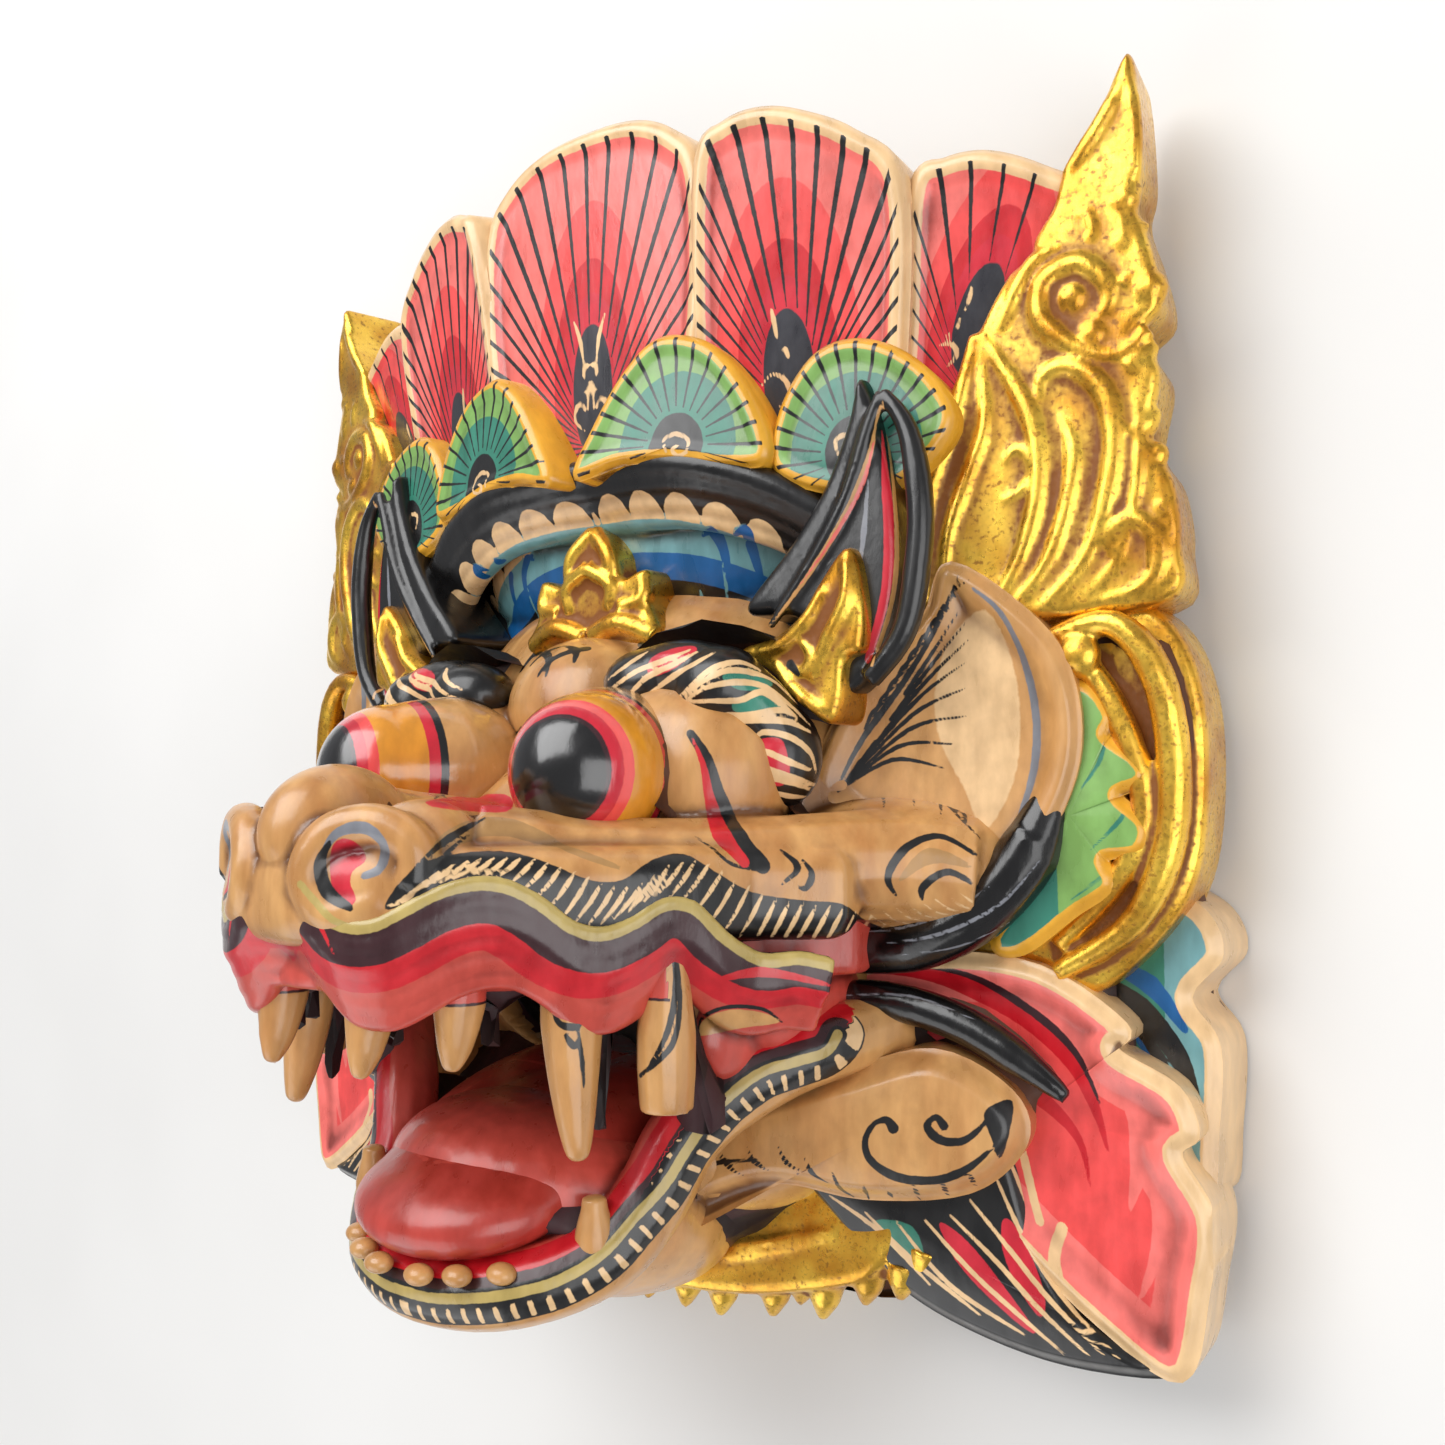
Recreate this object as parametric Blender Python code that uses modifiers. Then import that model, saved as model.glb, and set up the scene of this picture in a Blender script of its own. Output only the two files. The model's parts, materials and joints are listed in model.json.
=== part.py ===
"""Barong mask carved from one block of wood, lying on its flat back with the face up.

The crown points to +Y, the face looks along +Z and +X is the right of someone looking at it.
The carving is laid out in steps of a hundredth of its design height, so the whole free form
follows MASK_HEIGHT, and the thicknesses, walls and teeth keep sizes of their own.
"""

import math

import bmesh
import bpy
import numpy as np
from mathutils import Matrix, Vector

# Driving sizes, in metres
MASK_HEIGHT = 0.408
CROWN_THICKNESS = 0.027
WING_THICKNESS = 0.024
BORDER_THICKNESS = 0.026
COLLAR_THICKNESS = 0.020
LIP_RADIUS = 0.0115
BAND_RADIUS = 0.0055
RIM_RADIUS = 0.0045
TONGUE_THICKNESS = 0.022
TOOTH_LENGTH = 0.024
TOOTH_RADIUS = 0.0075
FANG_LENGTH = 0.041
FANG_RADIUS = 0.0105
TUSK_LENGTH = 0.047
TUSK_RADIUS = 0.0110
EYE_RADIUS = 0.0235
EYE_LENGTH = 0.050
RIM_WIDTH = 0.052
HOLLOW_DEPTH = 0.082
MOUTH_GAP = 0.040

# The carving's step, and the mesh sizes it is cut to
STEP = MASK_HEIGHT / 40.8
GRAIN = 0.0028
TRIANGLES = 9400
FLAT_BACK_TOLERANCE = 0.0006

# Outlines in carving steps, right half, from the photograph's front view
CENTRE_PETAL = [(0, 20.4), (2.2, 20.2), (3.8, 19.3), (4.8, 17.8), (4.9, 14), (4.4, 9), (0, 6)]
INNER_PETAL = [(4.8, 17.8), (5.7, 18.8), (7.0, 19.0), (8.4, 18.6), (9.9, 17.8), (11.3, 16.3),
               (11.2, 12), (10.4, 7), (5, 6), (4.4, 12)]
OUTER_PETAL = [(11.4, 16.2), (12.3, 16.7), (13.6, 16.7), (15.2, 16.0), (16.4, 15.0),
               (15.6, 12.5), (13.6, 8), (10.5, 6), (11.0, 12)]
INNER_LEAF = [(0.4, 7.2), (1.1, 9.2), (2.2, 11.0), (3.4, 12.0), (4.6, 12.0), (5.9, 11.3),
              (7.1, 9.6), (7.8, 7.2), (4, 5)]
OUTER_LEAF = [(7.2, 7.2), (7.7, 9.3), (8.7, 10.8), (10.0, 11.2), (11.5, 10.7), (12.7, 9.6),
              (13.2, 8.2), (11, 5)]
HORN = [(10.7, 9.9), (10.2, 8.4), (9.4, 6.6), (8.2, 4.9), (6.6, 3.0), (8.6, 2.6), (9.8, 0.4),
        (10.8, 0.6), (11.7, 2.6), (11.9, 4.8), (11.5, 7.4)]
WING = [(18.0, 18.9), (18.3, 15.7), (18.1, 14.4), (18.5, 13.0), (18.8, 11.3), (18.0, 10.4),
        (18.7, 9.4), (18.4, 7.4), (19.0, 6.2), (19.2, 4.4), (18.6, 2.6), (12.0, 2.4),
        (11.4, 4.6), (11.4, 7.4), (12.2, 9.9), (13.4, 11.9), (14.3, 13.5), (15.6, 15.6),
        (16.1, 16.4)]
EAR = [(12.8, 4.1), (12.0, 2.6), (10.4, 1.1), (8.9, -0.8), (8.4, -3.0), (11.5, -5.0),
       (14.3, -5.4), (15.6, -4.0), (16.5, -1.8), (16.4, 0.4), (15.4, 2.2)]
SCROLL = [(14.4, 2.0), (15.4, 2.7), (17.2, 3.0), (18.6, 2.4), (19.5, 0.8), (19.8, -1.8),
          (19.5, -4.9), (18.5, -6.8), (16.4, -8.6), (14.8, -7.8), (12.5, -7.6), (12.5, -3)]
BLUE_LEAF = [(17.0, -5.6), (19.2, -5.9), (19.95, -7.3), (19.0, -8.6), (19.8, -9.9),
             (19.7, -12.4), (19.3, -14.4), (17.0, -13.0), (15.5, -9.5)]
FLAME_LOBE = [(8.0, -8.6), (11.6, -7.7), (15.0, -7.9), (17.5, -9.4), (17.2, -10.1), (18.9, -11.0),
              (19.4, -12.2), (18.9, -12.8), (19.8, -14.4), (19.6, -16.4), (18.9, -18.9),
              (15.0, -17.8), (9.0, -15.0), (8.0, -11.0)]
JAW_LOBE = [(4.6, -13.4), (6.8, -12.2), (9.6, -11.2), (12.4, -10.4), (14.6, -11.4), (15.0, -12.8),
            (13.4, -14.3), (10.2, -14.8), (7.4, -14.6), (5.0, -15.6), (3.6, -16.8)]
TUFT = [(6.4, -14.0), (10.5, -14.6), (13.6, -12.8), (15.0, -16.0), (16.4, -17.8), (18.6, -18.9),
        (15.6, -19.2), (12.6, -18.7), (10.2, -17.7), (8.0, -15.9)]
COLLAR = [(0, -20.5), (3.6, -20.4), (7.4, -19.7), (10.6, -18.2), (10.0, -14.5), (0, -13.5)]
BACK_BLOCK = [(0, 6.6), (7.0, 6.0), (11.5, 3.6), (14.6, -0.5), (15.6, -5.0), (15.2, -10.0),
              (12.6, -14.6), (8.4, -17.4), (0, -18.6)]
LIP_PLAN = [(0, 20.0), (2.5, 19.5), (4.6, 18.2), (6.2, 16.5), (7.4, 14.6), (8.5, 12.8),
            (9.5, 10.6), (10.2, 7.0), (10.4, 0)]
GUM_PLAN = [(0, 19.1), (2.0, 18.6), (3.8, 17.3), (5.3, 15.6), (6.6, 13.6), (7.7, 11.6),
            (8.7, 9.0), (9.4, 5.0), (9.4, 0)]
TREFOIL = [(0, 6.5), (1.0, 5.6), (1.2, 4.6), (2.2, 4.8), (2.3, 3.6), (2.6, 2.4), (0, 1.8)]
SIDE_PLATE = [(9.7, 5.0), (8.6, 3.6), (7.4, 2.4), (6.6, 1.4), (8.0, -0.4), (9.6, -0.6), (10.0, 1.6)]

# Paths in carving steps, as (x, y, z), right half
CENTRE_RIM = [(4.6, 11.0, 7.3), (4.8, 15.0, 7.8), (4.7, 17.8, 8.1), (3.8, 19.1, 7.8),
              (2.2, 19.9, 7.3), (0, 20.1, 7.1)]
INNER_RIM = [(5.1, 12.0, 7.1), (5.2, 16.0, 8.1), (5.6, 18.4, 8.2), (7.0, 18.7, 7.9), (8.4, 18.4, 7.5),
             (9.9, 17.5, 7.0), (11.0, 16.2, 6.5)]
OUTER_RIM = [(11.3, 12.0, 5.7), (11.5, 15.0, 6.4), (12.1, 16.3, 6.5), (13.4, 16.5, 6.2),
             (15.0, 15.8, 5.7), (16.0, 14.9, 5.2)]
BROW_PATH = [(2.9, 0.7, 8.6), (5.0, 1.5, 8.6), (7.4, 1.0, 8.0), (9.0, -0.6, 6.9), (9.2, -2.4, 6.0)]
CHEEK_PATH = [(3.4, -4.7, 15.6), (6.0, -5.1, 12.4), (8.6, -5.1, 9.0), (11.0, -4.9, 6.4),
              (13.4, -5.1, 4.8)]
LOWER_LIP_PATH = [(10.6, -9.9, 4.6), (9.0, -10.5, 7.4), (7.4, -11.7, 9.0), (6.3, -13.0, 9.8),
                  (5.6, -14.8, 10.5), (4.8, -16.3, 11.8), (2.8, -17.2, 13.4), (0, -17.5, 14.0)]
TONGUE_PATH = [(0, -12.9, 5.0), (0, -13.4, 8.0), (0, -14.7, 11.6), (0, -15.9, 14.6)]
NOSTRIL_PATH = [(3.2, -5.6, 18.7), (2.0, -6.0, 19.5), (1.3, -5.0, 19.8), (1.8, -3.9, 19.5),
                (3.0, -3.6, 18.8), (4.0, -4.2, 18.2), (4.0, -5.2, 18.2)]
BAND_PATH = [(9.2, 5.9, 4.6), (7.2, 7.2, 5.2), (4.8, 8.1, 5.9), (2.4, 8.5, 6.3), (0, 8.6, 6.4)]
RIDGE_PATH = [(7.2, -9.4, 4.8), (10.2, -8.9, 4.6), (13.2, -9.6, 4.6), (16.2, -11.6, 4.2)]
CURL_TURNS = 1.4


def curve_through(points, closed, steps=4):
    """Points of a smooth curve through a short list of points."""
    knots = [Vector(p).to_3d() for p in points]
    count = len(knots)
    result = []
    for i in range(count if closed else count - 1):
        if closed:
            a, b, c, d = (knots[(i + k) % count] for k in (-1, 0, 1, 2))
        else:
            a, b, c, d = (knots[min(max(i + k, 0), count - 1)] for k in (-1, 0, 1, 2))
        for j in range(steps):
            t = j / steps
            result.append(0.5 * (2 * b + (c - a) * t + (2 * a - 5 * b + 4 * c - d) * t ** 2
                                 + (3 * b - a - 3 * c + d) * t ** 3))
    if not closed:
        result.append(knots[-1])
    return result


def whole(half):
    """A centre outline from its right half, whose first and last points lie on the middle."""
    return half + [(-p[0],) + tuple(p[1:]) for p in reversed(half[1:-1])]


def whole_path(half):
    """A centre path from its right half, which ends on the middle."""
    return half + [(-p[0],) + tuple(p[1:]) for p in reversed(half[:-1])]


class Carving:
    """Collects overlapping closed forms, which are then cut as one block."""

    def __init__(self):
        self.mesh = bmesh.new()

    def add(self, obj, both_sides):
        """Takes an object's evaluated shape in, and its mirror image where it is a side piece."""
        bpy.context.view_layer.update()
        shape = obj.evaluated_get(bpy.context.evaluated_depsgraph_get())
        sides = (1, -1) if both_sides else (1,)
        for side in sides:
            mesh = bpy.data.meshes.new_from_object(shape)
            mesh.transform(Matrix.Diagonal((side, 1, 1, 1)) @ obj.matrix_world)
            if side < 0:
                mesh.flip_normals()
            self.mesh.from_mesh(mesh)
            bpy.data.meshes.remove(mesh)
        bpy.data.objects.remove(obj)

    def object(self, name):
        mesh = bpy.data.meshes.new(name)
        self.mesh.to_mesh(mesh)
        self.mesh.free()
        obj = bpy.data.objects.new(name, mesh)
        bpy.context.scene.collection.objects.link(obj)
        return obj


def slab(outline, front, thickness, turn=(0, 0, 0), edge=0.0035, steps=4):
    """A flat outline of a given thickness, whose front face has rounded edges.

    front is the height of the front face, in metres, over the outline's own middle, and turn
    leans the slab about that middle.
    """
    points = [p * STEP for p in curve_through(outline, True, steps)]
    middle = sum(points, Vector()) / len(points)
    curve = bpy.data.curves.new("slab", "CURVE")
    curve.dimensions = "2D"
    curve.fill_mode = "BOTH"
    curve.extrude = thickness / 2 - edge
    curve.bevel_depth = edge
    curve.bevel_resolution = 1
    curve.offset = -edge
    spline = curve.splines.new("POLY")
    spline.points.add(len(points) - 1)
    spline.use_cyclic_u = True
    for knot, point in zip(spline.points, points):
        knot.co = (point.x - middle.x, point.y - middle.y, 0, 1)
    obj = bpy.data.objects.new("slab", curve)
    bpy.context.scene.collection.objects.link(obj)
    obj.location = (middle.x, middle.y, front - thickness / 2)
    obj.rotation_euler = turn
    return obj


def tube(path, radius, end_share=1.0):
    """A round bar along a path of steps, tapered to a share of its radius at both ends."""
    points = [p * STEP for p in curve_through(path, False)]
    curve = bpy.data.curves.new("tube", "CURVE")
    curve.dimensions = "3D"
    curve.bevel_depth = radius
    curve.bevel_resolution = 2
    curve.use_fill_caps = True
    spline = curve.splines.new("POLY")
    spline.points.add(len(points) - 1)
    for i, (knot, point) in enumerate(zip(spline.points, points)):
        middle = math.sin(math.pi * i / (len(points) - 1))
        knot.co = (*point, 1)
        knot.radius = end_share + (1 - end_share) * middle
    obj = bpy.data.objects.new("tube", curve)
    bpy.context.scene.collection.objects.link(obj)
    return obj


def ball(centre, radii, turn=(0, 0, 0)):
    """A ball or egg, placed in steps, with its half-axes in steps."""
    bpy.ops.mesh.primitive_uv_sphere_add(segments=24, ring_count=14, location=Vector(centre) * STEP,
                                         rotation=turn)
    obj = bpy.context.object
    obj.scale = Vector(radii) * STEP
    return obj


def spike(root, direction, length, radius):
    """A tooth: a blunt cone from its root in steps, along a direction."""
    way = Vector(direction).normalized()
    start = Vector(root) * STEP
    tip_share = 0.35
    sunk = length * 0.35
    bpy.ops.mesh.primitive_cone_add(vertices=12, radius1=radius, radius2=radius * tip_share,
                                    depth=length + sunk,
                                    location=start + way * (length - sunk) / 2)
    obj = bpy.context.object
    obj.rotation_euler = way.to_track_quat("Z", "Y").to_euler()
    return obj


def add_crown(carving):
    """Five tall petals, four leaves before them, and the arched band that they rise from."""
    back_lean = math.radians(2)
    forward = math.radians(8)
    carving.add(slab(whole(CENTRE_PETAL), 7.4 * STEP, CROWN_THICKNESS, (back_lean, 0, 0)), False)
    carving.add(slab(INNER_PETAL, 6.6 * STEP, CROWN_THICKNESS, (forward, math.radians(15), 0)),
                True)
    carving.add(slab(OUTER_PETAL, 5.2 * STEP, CROWN_THICKNESS, (forward, math.radians(15), 0)),
                True)
    for rim in (whole_path(CENTRE_RIM), INNER_RIM, OUTER_RIM):
        carving.add(tube(rim, RIM_RADIUS), rim[0][0] == rim[-1][0] or rim[0][0] > 0)
    leaf_thickness = CROWN_THICKNESS * 0.8
    carving.add(slab(INNER_LEAF, 8.1 * STEP, leaf_thickness, (0, math.radians(10), 0)), True)
    carving.add(slab(OUTER_LEAF, 6.5 * STEP, leaf_thickness, (0, math.radians(12), 0)), True)
    carving.add(tube(whole_path(BAND_PATH), BAND_RADIUS), False)
    carving.add(slab(HORN, 7.2 * STEP, CROWN_THICKNESS * 1.2, (0, math.radians(6), 0)), True)
    carving.add(ball((0, 6.2, 2.2), (9.6, 4.4, 4.0)), False)
    carving.add(slab(whole(TREFOIL), 7.0 * STEP, CROWN_THICKNESS), False)
    carving.add(slab(SIDE_PLATE, 6.2 * STEP, CROWN_THICKNESS, (0, math.radians(8), 0)), True)


def add_crown_back(carving):
    """The wood behind the crown, which slopes from the flat back to the petals' upper part."""
    foot = [(0, 15.5), (9.5, 14.0), (13.0, 11.5), (14.5, 6.0), (12.0, 2.0), (0, 2.0)]
    slope = math.radians(13)
    carving.add(slab(whole(foot), 4.7 * STEP, CROWN_THICKNESS * 1.3, (slope, 0, 0)), False)


def add_wings(carving):
    """The gilded wings with their big and small curls and the leaf on the inner edge."""
    lean = math.radians(11)
    carving.add(slab(WING, 3.6 * STEP, WING_THICKNESS, (0, lean, 0)), True)
    for centre, size in (((16.2, 11.9), 1.35), ((17.7, 4.0), 1.05)):
        spiral = []
        for i in range(12):
            turn = 2 * math.pi * CURL_TURNS * i / 11
            reach = size * (1 - 0.6 * i / 11)
            spiral.append((centre[0] + reach * math.cos(turn), centre[1] + reach * math.sin(turn),
                           4.0 - 0.2 * (centre[0] + reach * math.cos(turn) - 14)))
        carving.add(tube(spiral, 0.0045), True)
    leaf_edge = [(12.0, 3.2, 4.9), (12.2, 6.0, 4.9), (12.9, 9.0, 4.8), (13.5, 11.2, 4.4)]
    carving.add(tube(leaf_edge, 0.0055, 0.5), True)
    middle_rib = [(14.4, 3.4, 4.2), (15.4, 5.6, 4.2), (15.5, 8.0, 4.2), (14.6, 9.4, 4.3)]
    carving.add(tube(middle_rib, 0.0055, 0.6), True)
    outer_rib = [(15.6, 3.2, 4.0), (17.2, 5.2, 3.8), (17.6, 7.6, 3.7), (17.0, 9.6, 3.9)]
    carving.add(tube(outer_rib, 0.0055, 0.6), True)


def add_face(carving):
    """Forehead, brows, eyes, cheeks, nose and upper jaw."""
    carving.add(slab(whole(BACK_BLOCK), 0.030, 0.036), False)
    carving.add(ball((0, -4.5, 0.5), (12.6, 11.6, 9.0)), False)
    carving.add(ball((0, 0.2, 6.8), (3.2, 2.5, 3.0)), False)
    carving.add(tube(BROW_PATH, 1.45 * STEP, 0.7), True)
    carving.add(ball((5.0, -2.2, 8.2), (3.9, 3.2, 3.0)), True)
    eye_turn = math.radians(26)
    gaze = Vector((math.sin(eye_turn), 0, math.cos(eye_turn)))
    pupil_end = Vector((5.6, -2.1, 14.3)) * STEP
    bpy.ops.mesh.primitive_uv_sphere_add(segments=24, ring_count=14, radius=EYE_RADIUS,
                                         location=pupil_end - gaze * EYE_RADIUS)
    carving.add(bpy.context.object, True)
    bpy.ops.mesh.primitive_cylinder_add(vertices=24, radius=EYE_RADIUS, depth=EYE_LENGTH,
                                        location=pupil_end - gaze * (EYE_RADIUS + EYE_LENGTH / 2),
                                        rotation=(0, eye_turn, 0))
    carving.add(bpy.context.object, True)
    carving.add(tube(CHEEK_PATH, 1.7 * STEP), True)
    carving.add(ball((10.8, -4.9, 4.8), (4.2, 2.1, 2.9), (0, math.radians(20), 0)), True)
    add_nose(carving)
    add_upper_jaw(carving)
    carving.add(slab(EAR, 5.4 * STEP, BORDER_THICKNESS, (0, math.radians(10), 0)), True)


def add_nose(carving):
    """An upturned nose: a low bridge between the eyes, a round tip and two broad wings."""
    bridge = [(0, -2.4, 8.6), (0, -4.4, 11.4), (0, -4.4, 14.2), (0, -4.0, 17.0)]
    carving.add(tube(bridge, 1.7 * STEP, 0.95), False)
    carving.add(ball((0, -3.9, 17.7), (1.7, 2.0, 2.4)), False)
    carving.add(ball((2.9, -4.7, 17.0), (1.8, 1.8, 2.0)), True)
    carving.add(tube(NOSTRIL_PATH, 0.6 * STEP), True)
    carving.add(ball((0, -4.8, 14.6), (4.4, 1.4, 3.0)), False)


def add_upper_jaw(carving):
    """The snout over a horseshoe plan: the lips, the gums below them, and the teeth."""
    carving.add(plan_slab(whole(LIP_PLAN), -7.0, -4.2, 0.009), False)
    carving.add(plan_slab(whole(GUM_PLAN), -8.5, -5.0, 0.004), False)
    for share, length, radius, flare in ((0.10, TOOTH_LENGTH, TOOTH_RADIUS, 0.0),
                                         (0.22, TOOTH_LENGTH, TOOTH_RADIUS, 0.0),
                                         (0.36, FANG_LENGTH, FANG_RADIUS, 0.12)):
        x, z = plan_point(GUM_PLAN, share)
        carving.add(spike((x * 0.9, -8.3, z - 0.7), (flare, -1, 0), length, radius), True)


def plan_point(plan, share):
    """The point of a horseshoe plan that lies a share of the way from front to back."""
    points = curve_through(plan, False)
    lengths = np.cumsum([0] + [(b - a).length for a, b in zip(points, points[1:])])
    at = int(np.searchsorted(lengths, share * lengths[-1]))
    return points[at].x, points[at].y


def plan_slab(plan, low, high, edge):
    """A plan in the X and Z directions, filled between two heights along Y."""
    obj = slab(plan, 0, (high - low) * STEP, edge=edge)
    middle = obj.location.copy()
    obj.rotation_euler = (math.radians(90), 0, 0)
    obj.location = (middle.x, (high + low) / 2 * STEP, middle.y)
    return obj


def add_lower_jaw(carving):
    """The lower lip, the bowl behind it, the tongue and the small lower teeth."""
    carving.add(tube(whole_path(LOWER_LIP_PATH), LIP_RADIUS), False)
    carving.add(ball((0, -15.9, 8.2), (5.6, 3.2, 6.2), (math.radians(-20), 0, 0)), False)
    carving.add(ball((0, -14.2, 4.0), (8.6, 4.4, 6.4)), False)
    for side in (0, 0.9, 1.8, 2.7, 3.6):
        path = [(side, y, z - side ** 2 * 0.1) for _, y, z in TONGUE_PATH]
        carving.add(tube(path, TONGUE_THICKNESS / 2), True)
    carving.add(spike((4.6, -15.4, 11.8), (0, 1, 0.1), TOOTH_LENGTH * 0.5, TOOTH_RADIUS), True)
    carving.add(spike((7.4, -11.0, 11.0), (0.12, 1, 0.38), TUSK_LENGTH, TUSK_RADIUS), True)
    carving.add(slab(JAW_LOBE, 7.0 * STEP, BORDER_THICKNESS, (0, math.radians(16), 0)), True)


def add_border(carving):
    """What frames the jaw: scrolls, leaves, flame lobes, striped tufts and the collar."""
    carving.add(slab(SCROLL, 3.9 * STEP, BORDER_THICKNESS, (0, math.radians(6), 0)), True)
    rim = [(15.4, 1.7, 4.3), (17.6, 2.1, 4.2), (18.9, 0.2, 3.9), (19.1, -3.4, 3.7),
           (18.0, -6.3, 3.7), (15.6, -8.0, 3.9)]
    carving.add(tube(rim, 0.0065, 0.8), True)
    carving.add(slab(BLUE_LEAF, 2.5 * STEP, BORDER_THICKNESS), True)
    carving.add(slab(FLAME_LOBE, 4.1 * STEP, BORDER_THICKNESS, (0, math.radians(7), 0)), True)
    carving.add(tube(RIDGE_PATH, 0.0075, 0.5), True)
    carving.add(slab(TUFT, 4.0 * STEP, BORDER_THICKNESS, (0, math.radians(8), 0)), True)
    carving.add(slab(whole(COLLAR), 4.8 * STEP, COLLAR_THICKNESS, (math.radians(-6), 0, 0)), False)
    carving.add(ball((0, -17.0, 1.5), (8.6, 2.8, 3.4)), False)


def fuse(obj):
    """Makes one even skin round all that an object holds."""
    remesh = obj.modifiers.new("one_block", "REMESH")
    remesh.mode = "VOXEL"
    remesh.voxel_size = GRAIN


def mouth_cutter():
    """The open mouth, from the lips back into the hollow."""
    obj = ball((0, -10.6, 12.0), (5.4, 1, 9.5), (math.radians(6), 0, 0))
    obj.scale.y = MOUTH_GAP / 2
    return obj


def hollow_cutter():
    """The inside of the mask, open at the back, with a broad rim left round it."""
    half_width = 15.6 * STEP - RIM_WIDTH
    below_back = 0.004
    bpy.ops.mesh.primitive_uv_sphere_add(segments=24, ring_count=14,
                                         location=(0, -5.0 * STEP, -below_back))
    obj = bpy.context.object
    obj.scale = (half_width, half_width, HOLLOW_DEPTH + below_back)
    return obj


def cut(obj, cutter, cutters):
    cutter.hide_render = True
    cutter.display_type = "WIRE"
    for collection in list(cutter.users_collection):
        collection.objects.unlink(cutter)
    cutters.objects.link(cutter)
    modifier = obj.modifiers.new("cut", "BOOLEAN")
    modifier.operation = "DIFFERENCE"
    modifier.solver = "EXACT"
    modifier.object = cutter


def floor_cutter():
    """A block below the flat back."""
    depth = 0.05
    bpy.ops.mesh.primitive_cube_add(size=1, location=(0, 0, -depth / 2))
    obj = bpy.context.object
    obj.scale = (2 * MASK_HEIGHT, 2 * MASK_HEIGHT, depth)
    return obj


def wood_material():
    material = bpy.data.materials.new("painted_wood")
    material.use_nodes = True
    shader = material.node_tree.nodes["Principled BSDF"]
    shader.inputs["Base Color"].default_value = (0.72, 0.45, 0.22, 1)
    shader.inputs["Roughness"].default_value = 0.35
    shader.inputs["Metallic"].default_value = 0.0
    return material


def baked(obj, name):
    """A new object with the shape that an object's modifiers give."""
    bpy.context.view_layer.update()
    shape = obj.evaluated_get(bpy.context.evaluated_depsgraph_get())
    mesh = bpy.data.meshes.new_from_object(shape)
    mesh.name = name
    mesh.materials.clear()
    bpy.data.objects.remove(obj)
    return bpy.data.objects.new(name, mesh)


def keep_largest(obj):
    """Drops crumbs of wood that the cuts leave loose."""
    mesh = bmesh.new()
    mesh.from_mesh(obj.data)
    left = set(mesh.verts)
    bodies = []
    while left:
        body = {left.pop()}
        edge = list(body)
        while edge:
            near = {e.other_vert(v) for v in edge for e in v.link_edges} & left
            left -= near
            body |= near
            edge = list(near)
        bodies.append(body)
    bodies.sort(key=len)
    crumbs = [v for body in bodies[:-1] for v in body]
    bmesh.ops.delete(mesh, geom=crumbs, context="VERTS")
    mesh.to_mesh(obj.data)
    mesh.free()


def thin_out(block, name):
    """The block with as few faces as keep its carving."""
    bpy.context.scene.collection.objects.link(block)
    count = sum(len(face.vertices) - 2 for face in block.data.polygons)
    faces = block.modifiers.new("faces", "DECIMATE")
    faces.ratio = TRIANGLES / count
    return baked(block, name)


def settle(obj):
    """Makes the block's back exactly flat and centres it on its own box."""
    points = np.array([v.co for v in obj.data.vertices])
    middle = (points.min(axis=0) + points.max(axis=0)) / 2
    for vertex in obj.data.vertices:
        vertex.co.x -= middle[0]
        vertex.co.y -= middle[1]
        if vertex.co.z < FLAT_BACK_TOLERANCE:
            vertex.co.z = 0


def main():
    for obj in list(bpy.data.objects):
        bpy.data.objects.remove(obj)
    parts = bpy.data.collections.new("barong_mask")
    cutters = bpy.data.collections.new("cutters")
    bpy.context.scene.collection.children.link(parts)
    bpy.context.scene.collection.children.link(cutters)

    carving = Carving()
    add_crown(carving)
    add_crown_back(carving)
    add_wings(carving)
    add_face(carving)
    add_lower_jaw(carving)
    add_border(carving)
    block = carving.object("block")

    fuse(block)
    for cutter in (hollow_cutter(), mouth_cutter(), floor_cutter()):
        cut(block, cutter, cutters)
    fuse(block)
    softened = block.modifiers.new("softened", "SMOOTH")
    softened.factor = 0.5
    softened.iterations = 2
    block = baked(block, "block")
    keep_largest(block)
    mask = thin_out(block, "carved_mask")
    settle(mask)
    mask.data.materials.append(wood_material())
    parts.objects.link(mask)


main()
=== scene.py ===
"""Looks of the carved and painted barong mask, laid out as an add-on and run as a script.

Lengths of the carving are in centimetres and paint widths in millimetres, and CM and MM turn them
into metres. The right half is carved and painted, and the left half is its mirror image.
"""

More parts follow.
